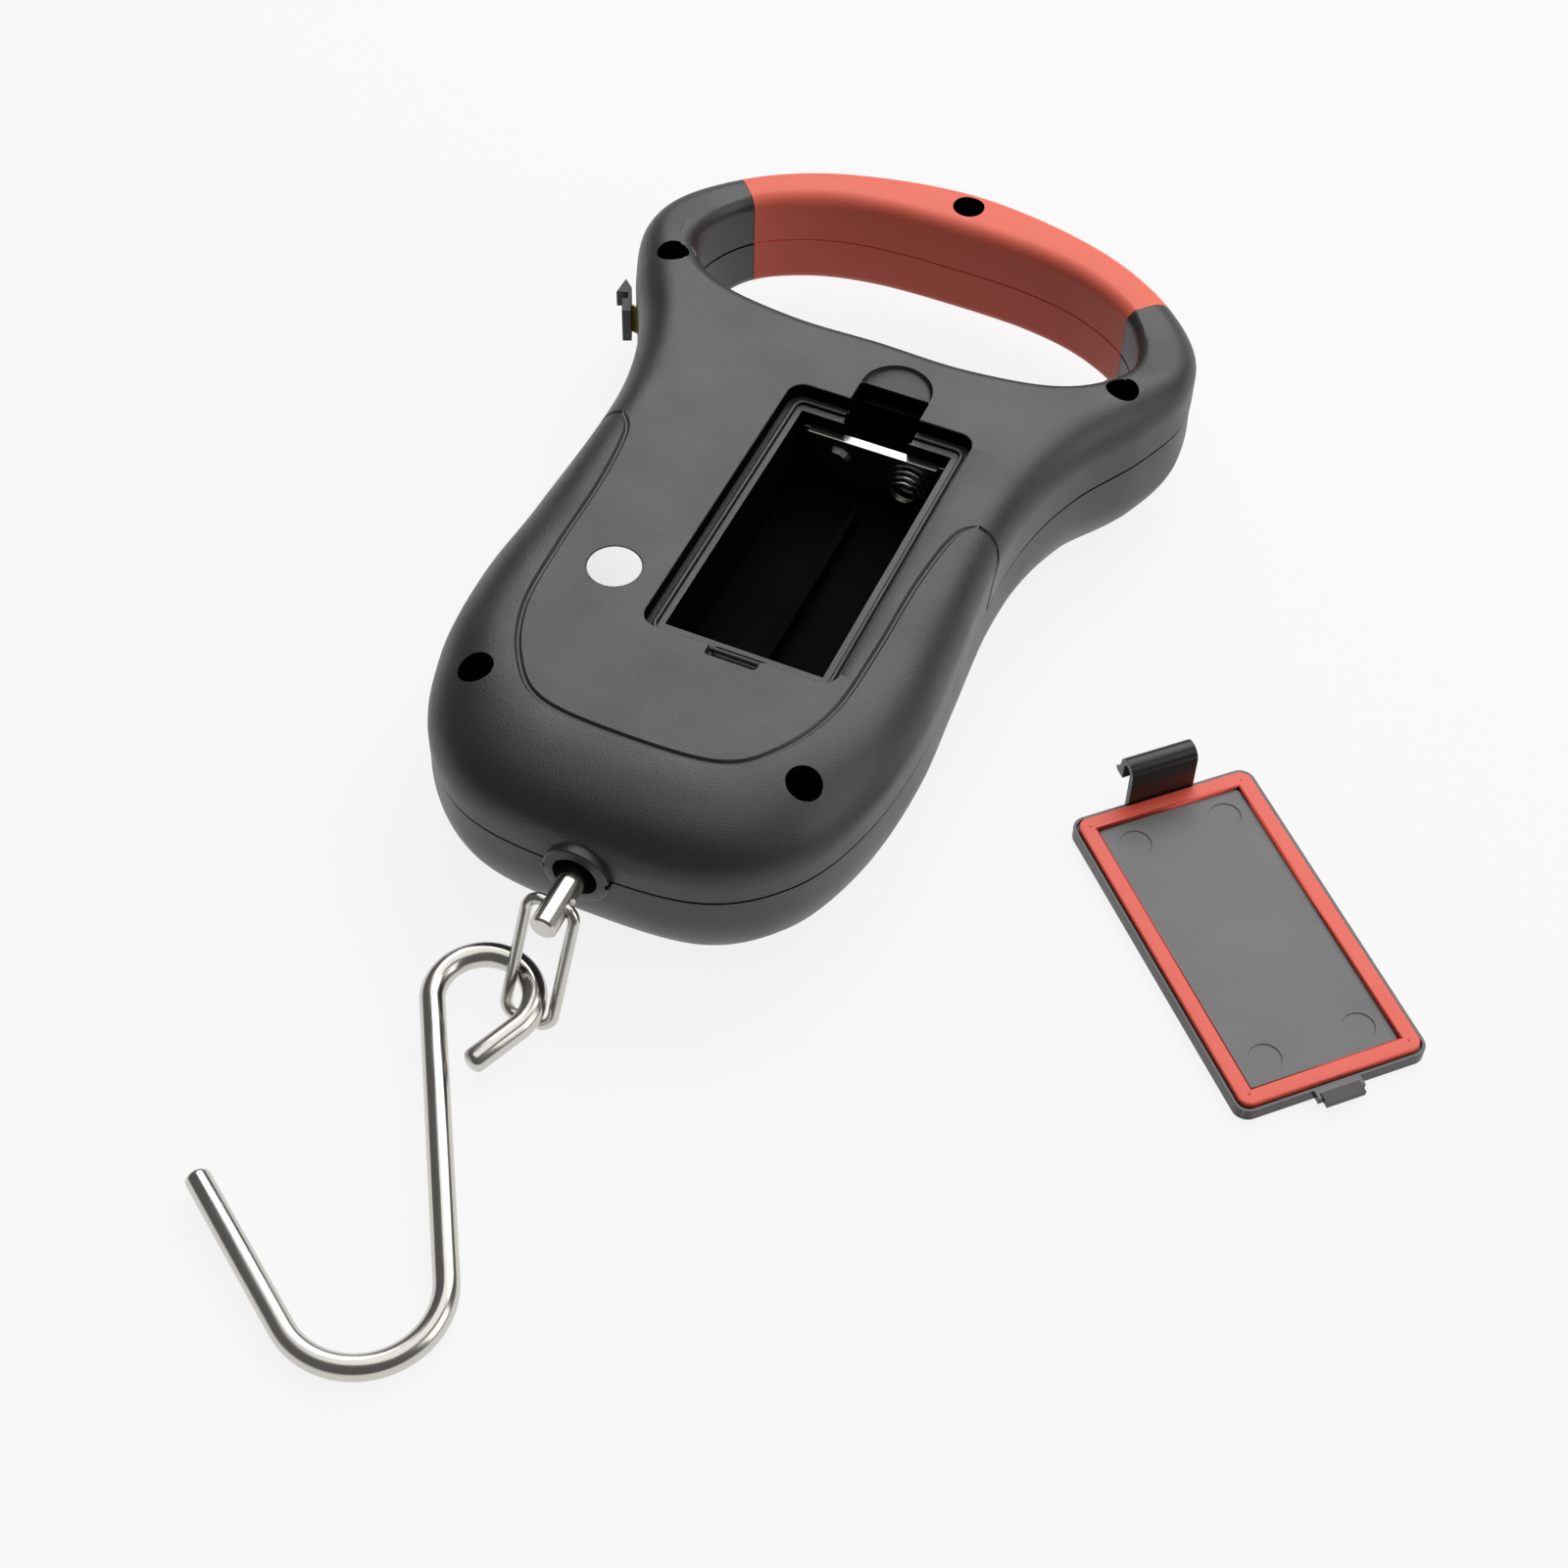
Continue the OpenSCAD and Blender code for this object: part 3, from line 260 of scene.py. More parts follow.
def barrel(centre, r0, r1, z0, z1, axis="z", steps=64):
    """A round bar along z, or along y, with r0 at z0 and r1 at z1 on that axis."""
    rings = []
    for r, z in ((r0, z0), (r1, z1)):
        ring = []
        for i in range(steps):
            a = 2 * math.pi * i / steps
            u, v = r * math.cos(a), r * math.sin(a)
            ring.append((centre[0] + u, centre[1] + v, z) if axis == "z"
                        else (centre[0] + u, z, centre[2] + v))
        rings.append(ring)
    return rings_object("tool", rings)


def boolean(obj, tool, op="DIFFERENCE"):
    """Cuts, joins or meets obj with tool, which is used up."""
    for solver in ("MANIFOLD", "EXACT"):
        m = obj.modifiers.new("cut", "BOOLEAN")
        m.object, m.operation, m.solver = tool, op, solver
        mesh = applied(obj)
        if len(mesh.polygons) and len(mesh.vertices) != len(obj.data.vertices):
            obj.data = mesh
            break
    else:
        print("BOOLEAN WITHOUT EFFECT", obj.name, op)
    bpy.data.objects.remove(tool)
    return obj


def sharpen(obj, degrees=32, weighted=False):
    """Smooth shading with sharp edges, and with normals that follow the large faces if weighted."""
    obj.data.shade_smooth()
    obj.data.set_sharp_from_angle(angle=math.radians(degrees))
    if weighted:
        m = obj.modifiers.new("normals", "WEIGHTED_NORMAL")
        m.keep_sharp = True
        m.weight = 90
        obj.data = applied(obj)
    return obj


# The rings of a wire's rounded end: how far past the path, and how thin, both in shares of its radius.
DOME = [(0.55 * math.sin(a), math.cos(a) ** 0.7) for a in (0.0, 0.4, 0.8, 1.15, 1.4)]


def sweep(name, path, radius, sides=20, closed=False, profile=None, up=None, round_ends=True):
    """Round wire, or a given profile, along a path of points."""
    pts = [Vector(p) for p in path]
    n = len(pts)
    angles = [2 * math.pi * k / sides for k in range(sides)]
    shape = profile or [(radius * math.cos(a), radius * math.sin(a)) for a in angles]
    side = None
    rings = []
    for i, at in enumerate(pts):
        a = pts[i - 1] if closed or i else pts[0]
        b = pts[(i + 1) % n] if closed or i < n - 1 else pts[-1]
        tangent = (b - a).normalized()
        if up:
            side = Vector(up)
        elif side is None:
            side = tangent.orthogonal().normalized()
        side = (side - tangent * side.dot(tangent)).normalized()
        other = tangent.cross(side)
        scales = [(0.0, 1.0)]
        if round_ends and not closed and i in (0, n - 1):
            scales = [(radius * d, s) for d, s in DOME]
            if i == 0:
                scales = [(-d, s) for d, s in scales[::-1]]
        for shift, s in scales:
            rings.append([tuple(at + tangent * shift + (other * u + side * v) * s) for u, v in shape])
    return rings_object(name, rings, closed=closed)


def turned(at, degrees):
    """A place, and a turn about z there."""
    return Matrix.Translation(Vector(at) * MM) @ Matrix.Rotation(math.radians(degrees), 4, "Z")


def place(obj, matrix):
    obj.data.transform(matrix)
    return obj


def join(name, *objs):
    bm = bmesh.new()
    for o in objs:
        bm.from_mesh(o.data)
        bpy.data.objects.remove(o)
    mesh = bpy.data.meshes.new(name)
    bm.to_mesh(mesh)
    bm.free()
    return scene_object(name, mesh)


def softened(name, node, width=0.15, segments=2, angle=28):
    """A copy of a CAD node with its hard edges rounded."""
    mesh = nodes[node].data.copy()
    mesh.name = name
    mesh.materials.clear()
    bm = bmesh.new()
    bm.from_mesh(mesh)
    bmesh.ops.remove_doubles(bm, verts=bm.verts, dist=2e-7)
    bmesh.ops.dissolve_limit(bm, angle_limit=math.radians(1.0), verts=bm.verts, edges=bm.edges)
    bm.to_mesh(mesh)
    bm.free()
    mesh.shade_smooth()
    obj = scene_object(name, mesh)
    if mesh.has_custom_normals:
        with bpy.context.temp_override(object=obj, active_object=obj, selected_objects=[obj]):
            bpy.ops.mesh.customdata_custom_splitnormals_clear()
    m = obj.modifiers.new("edges", "BEVEL")
    m.width, m.segments, m.limit_method, m.angle_limit = width * MM, segments, "ANGLE", math.radians(angle)
    m.harden_normals = True
    obj.data = applied(obj)
    return obj


# ---------------------------------------------------------------- materials
MOTTLE_SIZE, RELIEF = 14, 0.05


def srgb(r, g, b):
    def linear(c):
        c /= 255
        return c / 12.92 if c <= 0.04045 else ((c + 0.055) / 1.055) ** 2.4
    return linear(r), linear(g), linear(b), 1.0


def add_node(tree, kind, **properties):
    node = tree.nodes.new("ShaderNode" + kind)
    for key, value in properties.items():
        setattr(node, key, value)
    return node


def set_inputs(node, values):
    for socket, value in values.items():
        node.inputs[socket].default_value = value


def material(name, colour, rough=0.5, metal=0.0, grain=0.35, bump=0.12, mottle=0.06, wear=0.05,
             coat=0.0, spec=0.5, stretch=(1, 1, 1)):
    """A finish with a fine grain in its relief, and slow changes of colour and roughness."""
    m = bpy.data.materials.new(name)
    m.use_nodes = True
    tree = m.node_tree
    link = tree.links.new
    shader = tree.nodes["Principled BSDF"]
    set_inputs(shader, {"Metallic": metal, "Specular IOR Level": spec, "Coat Weight": coat,
                        "Coat Roughness": 0.12})
    where = add_node(tree, "TexCoord")
    scale = add_node(tree, "Mapping")
    set_inputs(scale, {"Scale": stretch})
    link(where.outputs["Object"], scale.inputs["Vector"])
    fine = add_node(tree, "TexNoise")
    set_inputs(fine, {"Scale": 1 / (grain * MM), "Detail": 4})
    link(scale.outputs["Vector"], fine.inputs["Vector"])
    broad = add_node(tree, "TexNoise")
    set_inputs(broad, {"Scale": 1 / (MOTTLE_SIZE * MM), "Detail": 5})
    link(scale.outputs["Vector"], broad.inputs["Vector"])
    tint = add_node(tree, "Mix", data_type="RGBA")
    set_inputs(tint, {"A": tuple(c * (1 - mottle) for c in colour[:3]) + (1,),
                      "B": tuple(min(1, c * (1 + mottle)) for c in colour[:3]) + (1,)})
    link(broad.outputs["Fac"], tint.inputs["Factor"])
    link(tint.outputs["Result"], shader.inputs["Base Color"])
    span = add_node(tree, "MapRange")
    set_inputs(span, {"From Min": 0.3, "From Max": 0.7, "To Min": max(0.02, rough - wear),
                      "To Max": min(1, rough + wear)})
    link(broad.outputs["Fac"], span.inputs["Value"])
    link(span.outputs["Result"], shader.inputs["Roughness"])
    relief = add_node(tree, "Bump")
    set_inputs(relief, {"Strength": bump, "Distance": RELIEF * MM})
    link(fine.outputs["Fac"], relief.inputs["Height"])
    link(relief.outputs["Normal"], shader.inputs["Normal"])
    return m


MATS = {
    "shell": material("shell_plastic", srgb(46, 46, 48), 0.4, grain=0.3, bump=1.0, mottle=0.06,
                      wear=0.05, spec=0.65),
    "grip": material("grip_rubber", srgb(246, 114, 92), 0.5, grain=0.3, bump=0.25, mottle=0.03, spec=0.4),
    "screw": material("zinc", srgb(150, 152, 154), 0.35, 1.0, grain=0.2, bump=0.1),
    "label": material("label_film", srgb(248, 248, 247), 0.45, grain=0.4, bump=0.05, mottle=0.02),
    "door": material("door_plastic", srgb(112, 112, 113), 0.45, grain=0.4, bump=0.5, mottle=0.1, wear=0.08),
    "gasket": material("gasket_silicone", srgb(247, 100, 80), 0.42, grain=0.6, bump=0.1, mottle=0.04),
    "contact": material("nickel_plate", srgb(205, 204, 198), 0.22, 1.0, grain=0.3, bump=0.08),
    "beam": material("milled_aluminium", srgb(196, 199, 202), 0.36, 1.0, grain=0.25, bump=0.2,
                     stretch=(0.1, 1, 1)),
    "gauge": material("gauge_film", srgb(199, 154, 62), 0.3, grain=0.4),
    "hook": material("nickel_wire", srgb(206, 203, 197), 0.2, 1.0, grain=0.5, bump=0.06, mottle=0.05,
                     wear=0.07),
    "board": material("solder_mask", srgb(29, 91, 56), 0.3, grain=1.2, bump=0.15, mottle=0.2),
    "chip": material("black_moulding", srgb(26, 26, 27), 0.5),
    "switch": material("tinned_steel", srgb(169, 169, 164), 0.35, 1.0),
    "display": material("display_cell", srgb(150, 160, 142), 0.12, grain=3, bump=0.02, mottle=0.03),
    "elastomer": material("conductive_rubber", srgb(216, 169, 176), 0.7),
    "window": material("smoked_window", srgb(28, 31, 34), 0.06, grain=4, bump=0.02, coat=0.6, wear=0.02),
    "button": material("button_rubber", srgb(216, 72, 50), 0.5, grain=0.3, bump=0.2),
    "spool": material("white_moulding", srgb(214, 214, 208), 0.45),
    "tape": material("tape_lacquer", srgb(230, 207, 74), 0.35, grain=0.6, bump=0.05),
    "spring_steel": material("blued_steel", srgb(110, 112, 118), 0.3, 1.0),
    "cover": material("tab_plastic", srgb(40, 40, 42), 0.42, grain=0.3, bump=0.2),
}
# Painted shade: this near-black, barely reflecting plastic stands in for the shade inside the bay, notch,
# screw wells and far recess walls, and in the parting seam.
PAINTED_SHADE = material("painted_shade_plastic", srgb(3, 3, 4), 0.7, grain=0.3, bump=0.1, spec=0.04)
LATCH = material("latch_plastic", srgb(30, 30, 31), 0.28, grain=0.4, bump=0.1)
for part in frame["record"]["subparts"]:
    data = nodes[part["node"]].data
    data.materials.clear()
    data.materials.append(MATS[part["material_slot"]])


def finish_piece(obj, slot, body, *replaced):
    obj.data.materials.clear()
    obj.data.materials.append(MATS[slot])
    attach(obj, body)
    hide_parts(*replaced)
    return obj


def second_material(obj, extra, inside):
    """Gives the faces whose centre, in millimetres, passes the test a second material."""
    obj.data.materials.append(extra)
    for face in obj.data.polygons:
        if inside(*(c / MM for c in face.center), face.normal):
            face.material_index = 1


# ---------------------------------------------------------------- casing
def form(side, inset=0.0, start=0.0):
    """Rounded outer form of one half, or the same form with its surface inset, as for the hollow."""
    rings = [at_height(grown(CASING, -inset if inset else -CHAMFER_IN), lift(side, start))]
    if not inset:
        rings.append(at_height(grown(CASING, 0 if side > 0 else -FRONT_SET_BACK), lift(side, CHAMFER_UP)))
    for step in range(13):
        a = math.radians(7.5 * step)
        ring = []
        for i, (x, y) in enumerate(CASING):
            w, d = shoulder(side, y)
            nx, ny = outward(CASING, i)
            k = inset + max(0.2, w - inset) * (1 - math.cos(a))
            ring.append((x - nx * k, y - ny * k,
                         lift(side, height(side, y) - inset - max(0.2, d - inset) * (1 - math.sin(a)))))
        rings.append(ring)
    return rings_object("form", rings, roof="strip")


def gap_tool(side, wall=0.0):
    """Cuts the hand opening with its rounded edge, or keeps the hollow a wall away from it."""
    foot = [(wall, -1.5)] if wall else [(0.3, -1.5), (0.3, 0), (0, 0.2)]
    rings = [at_height(grown(GAP, g), lift(side, z)) for g, z in foot]
    extra = 3 if wall else 0
    for step in range(9):
        a = math.radians(11.25 * step)
        out = wall or OPENING_EDGE * (1 - math.cos(a))
        drop = OPENING_EDGE * (1 - math.sin(a))
        rings.append([(p[0], p[1], lift(side, height(side, q[1]) + extra - drop))
                      for p, q in zip(grown(GAP, out), GAP)])
    rings.append([(x, y, lift(side, height(side, y) + 5)) for x, y in grown(GAP, wall or OPENING_EDGE)])
    return rings_object("tool", rings, roof="strip")


def collar(side):
    """Half of the round collar that the rod comes out of."""
    rings = []
    for r, y in COLLAR:
        rings.append([(u, y, lift(side, v)) for u, v in (polar(r, a) for a in range(0, 181, 6))])
    return rings_object("tool", rings)


def half(side, name):
    shell = form(side)
    shell.name = name
    inner = form(side, WALL, -1.0)
    boolean(inner, gap_tool(side, WALL))
    boolean(shell, inner)
    return boolean(shell, gap_tool(side))


def split_grip(shell, name, z0, z1):
    """Takes the handle's grip off a half, as a piece of its own with a fine gap to it."""
    grip = scene_object(name, shell.data.copy())
    for obj, slack, op in ((grip, -GRIP_SLACK, "INTERSECT"), (shell, GRIP_SLACK, "DIFFERENCE")):
        a, b = ((x, y - slack) for x, y in GRIP_CORNERS)
        boolean(obj, prism([(-a[0], a[1]), a, b, (b[0], 200), (-b[0], 200), (-b[0], b[1])], z0, z1), op)
    return grip


def groove_tool():
    right = [(x * PANEL_W, y) for x, y in PANEL]
    line = open_spline(right + [(-x, y) for x, y in right[-2::-1]], 14)
    rings = []
    for i, p in enumerate(line):
        nx, ny = normal_between(line[max(0, i - 1)], line[min(len(line) - 1, i + 1)])
        rings.append([(p[0] + nx * u, p[1] + ny * u, THICK + v) for u, v in GROOVE])
    return rings_object("tool", rings)


def chamfered_pocket(w, l, r, z0, dy=0.0, c=0.25):
    steps = ((0, z0), (0, THICK - c), (c * 0.35, THICK - c * 0.35), (c, THICK), (c, THICK + 3))
    return rings_object("tool", [at_height(bay_rect(w + 2 * g, l + 2 * g, r + g, 0.0, dy), z)
                                 for g, z in steps])


def moon_tool():
    rings = []
    for r, dz in MOON:
        arc = [(u, max(0.0, v)) for u, v in (polar(r, a) for a in range(0, 181, 5))]
        rings.append([(BAY[0] + u, NOTCH_Y + NOTCH_L + 0.5 + v, THICK + dz + (0.16 * v if dz < 0 else 0))
                      for u, v in arc + [(-r, -0.4), (r, -0.4)]])
    return rings_object("tool", rings)


def cut_rod_passage(shell):
    boolean(shell, barrel((0, 0, PARTING), ROD_PASSAGE_R, ROD_PASSAGE_R, -68, -80, "y"))


def cut_tape_slot(shell):
    boolean(shell, place(block(-6, -0.6, -3.6, 8, 0.6, 3.6), turned(TAPE_SLOT_AT, TAPE_SLOT_TURN)))


back = half(1, "back_half")
for x, y in SCREWS:
    boss = barrel((x, y), BACK_BOSS_R, BACK_BOSS_R, PARTING + 0.02, height(1, y) + PARTING - 1.0)
    boolean(back, boolean(boss, form(1, 0.5, -1.0), "INTERSECT"), "UNION")
boolean(back, collar(1), "UNION")
cut_rod_passage(back)
boolean(back, prism(bay_rect(34.4, 63.4, 3), THICK - WALL - RECESS_D, THICK - 1), "UNION")
boolean(back, block(BAY_X0 - TUB_WALL, BAY_Y0 - TUB_WALL, PARTING + 0.02,
                    BAY_X1 + TUB_WALL, BAY_Y1 + TUB_WALL, LEDGE_Z - 0.3), "UNION")
boolean(back, block(BAY[0] - LATCH_W / 2 - 1.5, BAY_Y1 + 0.1, PARTING + 0.02,
                    BAY[0] + LATCH_W / 2 + 1.5, NOTCH_Y + NOTCH_L + 1.2, THICK - 4), "UNION")
boolean(back, chamfered_pocket(RECESS_W, RECESS_L, RECESS_R, LEDGE_Z))
boolean(back, block(BAY_X0, BAY_Y0, 5, BAY_X1, BAY_Y1, 40))
boolean(back, chamfered_pocket(LATCH_W + 2 * SIDE_GAP, NOTCH_L + 3, 0.5, LEDGE_Z - 4,
                               RECESS_L / 2 - 3 + (NOTCH_L + 3) / 2))
boolean(back, block(BAY[0] - LATCH_W / 2 - SIDE_GAP, BAY_Y1 + TUB_WALL, LEDGE_Z - NOTCH_DROP,
                    BAY[0] + LATCH_W / 2 + SIDE_GAP, NOTCH_Y + NOTCH_L, THICK - 1))
boolean(back, chamfered_pocket(TONGUE_W + 2 * SIDE_GAP, 4, 0.4, LEDGE_Z - 0.6, -RECESS_L / 2 + 0.2))
boolean(back, moon_tool())
for x, y in SCREWS:
    boolean(back, barrel((x, y), WELL_R, WELL_R, PARTING + WELL_FLOOR, 40))
boolean(back, barrel(STICKER_AT, STICKER_R + 0.15, STICKER_R + 0.3, THICK - STICKER_SEAT, THICK + 1))
boolean(back, groove_tool())
for s in (-1, 1):
    run = []
    for a, y in SHOULDER_RUN:
        w, d = shoulder(1, y)
        c, v = polar(1, a)
        run.append((s * (SHOULDER_X - w * (1 - c)), y, THICK - d * (1 - v)))
    run += [(s * SHOULDER_X, y, z) for y, z in ((-4.6, 20.0), (-6.2, PARTING + 0.3), (-6.6, PARTING - 1))]
    boolean(back, sweep("tool", run, SHOULDER_GROOVE_R, 10, round_ends=False))
cut_tape_slot(back)
grip_upper = split_grip(back, "grip_upper", 0, 60)

tub = block(BAY_X0 - TUB_WALL, BAY_Y0 - TUB_WALL, BAY_FLOOR - TUB_WALL,
            BAY_X1 + TUB_WALL, BAY_Y1 + TUB_WALL, PARTING)
boolean(tub, block(BAY_X0, BAY_Y0, BAY_FLOOR, BAY_X1, BAY_Y1, 30))
rib = rings_object("rib", [at_height(bay_rect(w, BAY_L - 12, 0.5), z) for w, z in
                           ((1.5, BAY_FLOOR - 0.1), (1.2, BAY_FLOOR + 2.6), (0.9, BAY_FLOOR + 2.9))])
# The bead on the ledge is a loop, open at the notch.
bead = at_height(bay_rect(27.4, 52.4, 1.5), SEAL_Z)
first = next(i for i, p in enumerate(bead) if p[0] < BAY[0] - SEAL_END + 0.1 and p[1] > 10)
bead = bead[first:] + bead[:first]
ends = [(BAY[0] + end * SEAL_END, bead[0][1], SEAL_Z) for end in (-1, 1)]
bead = ends[:1] + bead + ends[1:]
back = join("back_case", back, tub, rib, sweep("seal", bead, SEAL_R, 12))
finish_piece(sharpen(back, weighted=True), "shell", "casing", "back_shell")


def in_pocket_shade(x, y, z, normal):
    """In the bay, the latch notch, a screw well, or on the recess walls that the light misses; these faces
    get painted shade.
    """
    u, v = x - BAY[0], y - BAY[1]
    bay = abs(u) < BAY_W / 2 + 0.05 and abs(v) < BAY_L / 2 + 0.05 and z < LEDGE_Z - 0.3
    notch = (abs(u) < LATCH_W / 2 + 0.4 and BAY_Y1 + 0.5 < y < NOTCH_Y + NOTCH_L + 0.1
             and z < THICK - 0.5)
    well = any(math.hypot(x - a, y - b) < WELL_R + 0.005 and z < height(1, b) + PARTING - 0.8
               for a, b in SCREWS)
    recess = (abs(u) < RECESS_W / 2 + 0.05 and abs(v) < RECESS_L / 2 + 0.05
              and LEDGE_Z - 0.3 < z < THICK - 0.3 and normal.z < 0.5
              and (v > RECESS_L / 2 - 3 or u < -RECESS_W / 2 + 3))
    return (bay or notch or well or recess) and z > BAY_FLOOR - 0.2


# Faces along the parting seam, which get painted shade.
def in_seam_shade(x, y, z, normal):
    return abs(z - PARTING) < 0.3 and y < HALF_L - 12


# Painted shade on the back half's pockets, wells, far recess walls and parting seam.
second_material(back, PAINTED_SHADE, lambda *at: in_pocket_shade(*at) or in_seam_shade(*at))
finish_piece(sharpen(grip_upper), "grip", "casing", "grip_back")
# Painted shade where the grip reaches into the pockets.
second_material(grip_upper, PAINTED_SHADE, in_pocket_shade)

front = half(-1, "front_case")
for x, y in SCREWS:
    boss = barrel((x, y), FRONT_BOSS_R, FRONT_BOSS_R, PARTING - height(-1, y) + 1.5, PARTING - 0.02)
    boolean(front, boss, "UNION")
boolean(front, collar(-1), "UNION")
cut_rod_passage(front)
for w, l, r, z in WINDOW_STEPS:
    boolean(front, prism([(x, y + WINDOW_Y) for x, y in rounded_rect(w, l, r)], -2, z))
for i in (-1, 0, 1):
    at = (BUTTON_X * i, BUTTON_Y)
    boolean(front, barrel(at, BUTTON_HOLE_R + 0.3, BUTTON_HOLE_R, -0.3, 0.25))
    boolean(front, barrel(at, BUTTON_HOLE_R, BUTTON_HOLE_R, -2, 6))
cut_tape_slot(front)
grip_lower = split_grip(front, "grip_lower", -20, 30)
finish_piece(sharpen(front), "shell", "casing", "front_shell")
# Painted shade along the front half's parting seam.
second_material(front, PAINTED_SHADE, in_seam_shade)
finish_piece(sharpen(grip_lower), "grip", "casing", "grip_front")

# ---------------------------------------------------------------- sticker, screws and contacts
sticker = []
for r, z in ((STICKER_R, 0.0), (STICKER_R, 0.1), (3.93, 0.14), (3.8, 0.15)):
    sticker.append([(STICKER_AT[0] + u, STICKER_AT[1] + v, THICK - STICKER_SEAT + z)
                    for u, v in (polar(r, a) for a in range(0, 360, 4))])
finish_piece(sharpen(rings_object("sticker", sticker), 50), "label", "casing", "qc_sticker")
finish_piece(softened("shell_screws", "case_screws", 0.12), "screw", "casing", "case_screws")
for node in ("bridge_contact", "positive_contact", "negative_contact"):
    finish_piece(softened(node + "_plate", node, 0.08), "contact", "casing", node)


def coil_spring(name, node, x, end, steps=160):
    """Conical spring on a contact plate, at the latch end (1) or the tongue end (-1) of the bay."""
    pts = []
    y0 = BAY[1] + end * (BAY_L / 2 - 0.35)
    for i in range(steps + 1):
        t = i / steps
        r = COIL_R[0] + (COIL_R[1] - COIL_R[0]) * t
        a = 2 * math.pi * COIL_TURNS * t
        pts.append((BAY[0] + x + r * math.cos(a), y0 - end * (0.27 + COIL_LENGTH * t),
                    BAY_FLOOR + 5.25 + r * math.sin(a)))
    finish_piece(sweep(name, pts, 0.25, 12), "contact", "casing", node)


coil_spring("latch_end_spring", "bridge_spring", COIL_X, 1)
coil_spring("tongue_end_spring", "negative_spring", -COIL_X, -1)

# ---------------------------------------------------------------- battery door
door_place = turned((*DOOR_AT, 0), DOOR_TURN)
door_frame = door_place.inverted()
door = finish_piece(softened("door_moulding", "battery_door", 0.12), "door", "door", "battery_door")


def on_latch(x, y, z, normal):
    """On the door's rim or its latch."""
    at = door_frame @ (Vector((x, y, z)) * MM) / MM
    return abs(at.x) > DOOR_W / 2 - DOOR_RIM or abs(at.y) > DOOR_L / 2 - DOOR_RIM or z > LATCH_Z


second_material(door, LATCH, on_latch)
gasket_line = rounded_rect(DOOR_W - 1.4 - GASKET_W, DOOR_L - 1.5 - GASKET_W, 0.55)
section = []
for k in range(24):
    c, s = math.cos(2 * math.pi * k / 24), math.sin(2 * math.pi * k / 24)
    section.append((1.24 * math.copysign(abs(c) ** 0.25, c), 0.64 * math.copysign(abs(s) ** 0.25, s)))
gasket = sweep("seal_ring", at_height(gasket_line, GASKET_Z), 1, closed=True, profile=section, up=(0, 0, 1))
finish_piece(place(gasket, door_place), "gasket", "door", "door_gasket")

# ---------------------------------------------------------------- rod, link and hook
finish_piece(softened("rod", "load_rod", 0.1, angle=35), "hook", "rod", "load_rod")
finish_piece(softened("nut", "rod_nut"), "screw", "rod", "rod_nut")
swing = math.asin((PARTING - LINK_END_Z) / LINK_PIVOTS)
link = []
for cx, near, a0 in ((1, True, 90), (1, False, 0), (-1, False, -90), (-1, True, -180)):
    for j in range(13):
        u, v = polar(LINK_R, a0 - 90 * j / 12)
        x, y = cx * (LINK_W - LINK_R) + u, (-LINK_R if near else -(LINK_L - LINK_R)) + v
        link.append((LINK_X + x, BORE_Y + y * math.cos(swing), PARTING + y * math.sin(swing)))
finish_piece(sweep("link_wire", link, LINK_WIRE, 24, closed=True), "hook", "link", "chain_link")

touch_x, touch_y = polar(EYE_R, EYE_TOUCH)
eye = (LINK_X + EYE_OFFSET - touch_x, BORE_Y - LINK_PIVOTS * math.cos(swing) - touch_y, LINK_END_Z)
path = []
for j in range(61):
    u, v = polar(EYE_R, EYE_TURN * (1 - j / 60))
    path.append((-v, EYE_R - u, 0))
for j in range(41):
    u, v = polar(MOUTH_R, MOUTH_TURN * j / 40)
    path.append((SHANK + v, u - MOUTH_R, 0))


def straight(start, degrees, lengths):
    return [(start[0] + u, start[1] + v, 0) for u, v in (polar(d, degrees) for d in lengths)]


tail = straight(path[0], 180 - EYE_TURN, (TAIL, TAIL * 0.5))
tip = straight(path[-1], -MOUTH_TURN, (TIP * 0.5, TIP))
tilt = math.asin((LINK_END_Z - HOOK_WIRE) / (SHANK + MOUTH_R))
hook_place = (turned(eye, HOOK_TURN) @ Matrix.Rotation(tilt, 4, "Y")
              @ Matrix.Translation(Vector((0, -EYE_R, 0)) * MM))
hook = sweep("hook_wire", tail + path + tip, HOOK_WIRE, 32)
finish_piece(place(hook, hook_place), "hook", "hook", "s_hook")

# ---------------------------------------------------------------- small parts in their CAD shape
SOFT = (("load_cell", "beam", "casing", 0.2), ("cell_clamp_screws", "screw", "casing", 0.12),
        ("circuit_board", "board", "casing", 0.1), ("tact_switches", "switch", "casing", 0.1),
        ("lcd_glass", "display", "casing", 0.12), ("display_window", "window", "casing", 0.15),
        ("button_zero", "button", "zero_key", 0.4), ("button_power", "button", "power_key", 0.4),
        ("button_unit", "button", "unit_key", 0.4), ("tape_tab", "cover", "tape", 0.3))
for node, slot, body, width in SOFT:
    finish_piece(softened(node + "_skin", node, width, 3), slot, body, node)

# ---------------------------------------------------------------- floor, world and lamps
FLOOR_HALF, FLOOR_DROP, FLOOR_GREY, FLOOR_WHITE_SHARE = 3000, 0.00002, 0.7, 0.86
WORLD_LIGHT = 0.13

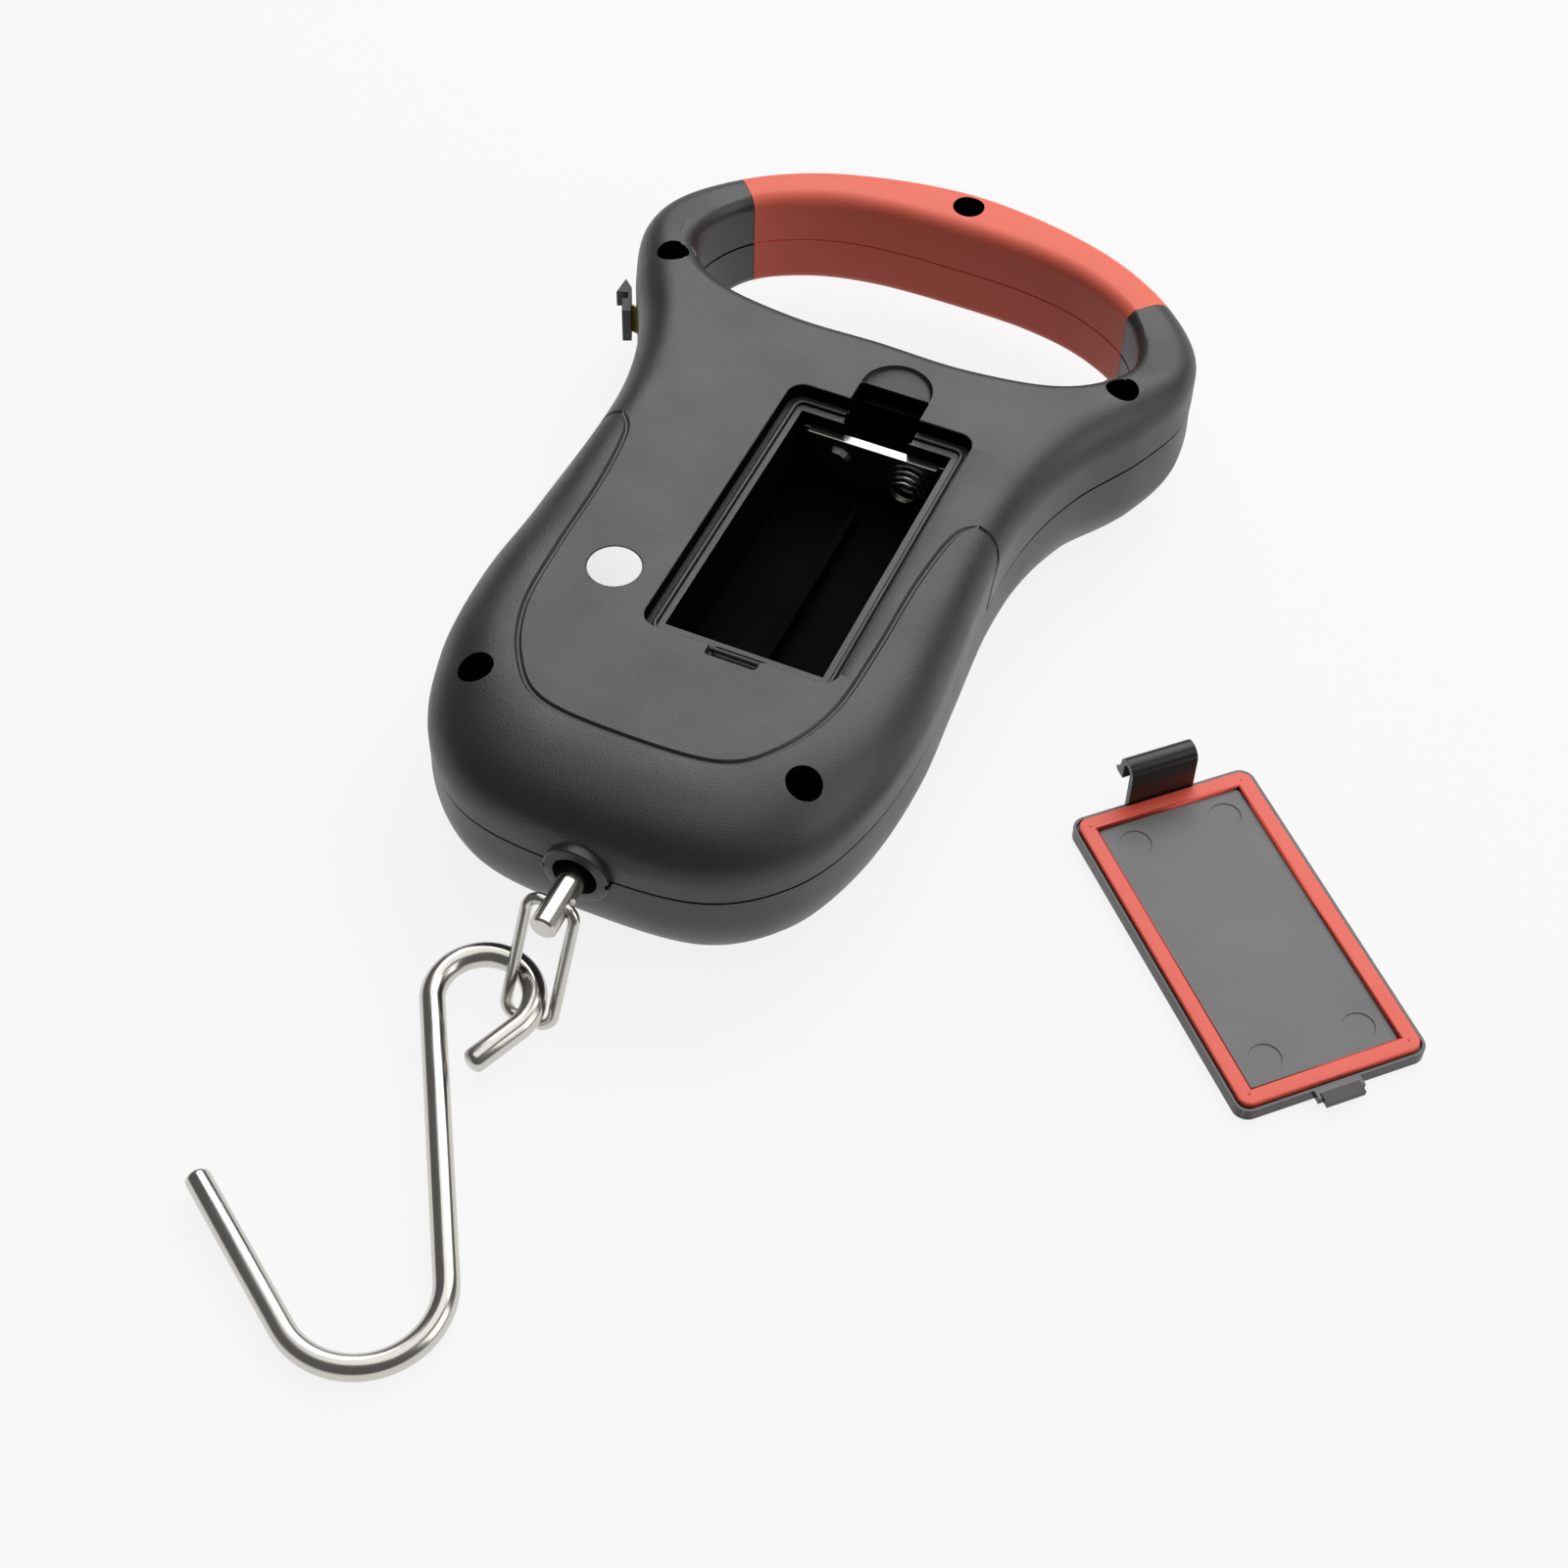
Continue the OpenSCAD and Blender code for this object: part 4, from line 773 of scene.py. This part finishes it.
floor = new_object("floor", [(x * FLOOR_HALF, y * FLOOR_HALF, 0) for x, y in
                             ((-1, -1), (1, -1), (1, 1), (-1, 1))], [(0, 1, 2, 3)], False)
floor_mat = bpy.data.materials.new("floor_white")
floor_mat.use_nodes = True
tree = floor_mat.node_tree
shader = tree.nodes["Principled BSDF"]
set_inputs(shader, {"Base Color": (FLOOR_GREY, FLOOR_GREY, FLOOR_GREY, 1), "Roughness": 0.6,
                    "Specular IOR Level": 0.2})
seen = add_node(tree, "LightPath")
white = add_node(tree, "Emission")
set_inputs(white, {"Color": (1, 1, 1, 1)})
either = add_node(tree, "Math", operation="MAXIMUM")
share = add_node(tree, "Math", operation="MULTIPLY")
share.inputs[1].default_value = FLOOR_WHITE_SHARE
blend = add_node(tree, "MixShader")
tree.links.new(seen.outputs["Is Camera Ray"], either.inputs[0])
tree.links.new(seen.outputs["Is Glossy Ray"], either.inputs[1])
tree.links.new(either.outputs["Value"], share.inputs[0])
tree.links.new(share.outputs["Value"], blend.inputs["Fac"])
tree.links.new(shader.outputs["BSDF"], blend.inputs[1])
tree.links.new(white.outputs["Emission"], blend.inputs[2])
tree.links.new(blend.outputs["Shader"], tree.nodes["Material Output"].inputs["Surface"])
floor.data.materials.append(floor_mat)
floor.location.z = -FLOOR_DROP

world = bpy.data.worlds.new("studio")
world.use_nodes = True
sky = world.node_tree
background = sky.nodes["Background"]
set_inputs(background, {"Color": (1, 1, 1, 1)})
sky_seen = add_node(sky, "LightPath")
sky_level = add_node(sky, "MapRange")
set_inputs(sky_level, {"To Min": WORLD_LIGHT, "To Max": 1.0})
sky.links.new(sky_seen.outputs["Is Camera Ray"], sky_level.inputs["Value"])
sky.links.new(sky_level.outputs["Result"], background.inputs["Strength"])
bpy.context.scene.world = world

# Name, place and size in metres, and power in watts. Each lamp is aimed at the origin.
LAMPS = (("back_softbox", (-0.05, 0.8, 0.8), (1.5, 0.8), 10.0),
         ("right_softbox", (0.75, 0.1, 0.45), (0.5, 0.7), 1.8),
         ("top_softbox", (0.0, 0.1, 1.1), (0.9, 0.9), 3.0))
for name, at, size, power in LAMPS:
    light = bpy.data.lights.new(name, "AREA")
    light.shape = "RECTANGLE"
    light.size, light.size_y = size
    light.energy = power
    lamp = scene_object(name, light)
    lamp.location = at
    lamp.rotation_euler = (-Vector(at)).to_track_quat("-Z", "Y").to_euler()

# ---------------------------------------------------------------- camera, at the photograph's view
CAMERA_AT = (0.1161, -0.2834, 0.3229)
CAMERA_RIGHT, CAMERA_UP = Vector((0.9145, 0.4041, 0.0201)), Vector((-0.3233, 0.6998, 0.6369))

camera = scene_object("camera", bpy.data.cameras.new("camera"))
camera.data.lens = 65.0
camera.data.sensor_width = 36.0
camera.data.clip_start = 0.01
behind = CAMERA_RIGHT.cross(CAMERA_UP).normalized()
up = behind.cross(CAMERA_RIGHT).normalized()
axes = Matrix((CAMERA_RIGHT.normalized(), up, behind)).transposed().to_4x4()
camera.matrix_world = Matrix.Translation(CAMERA_AT) @ axes
bpy.context.scene.camera = camera
bpy.context.scene.view_settings.view_transform = "Standard"

bpy.context.view_layer.update()
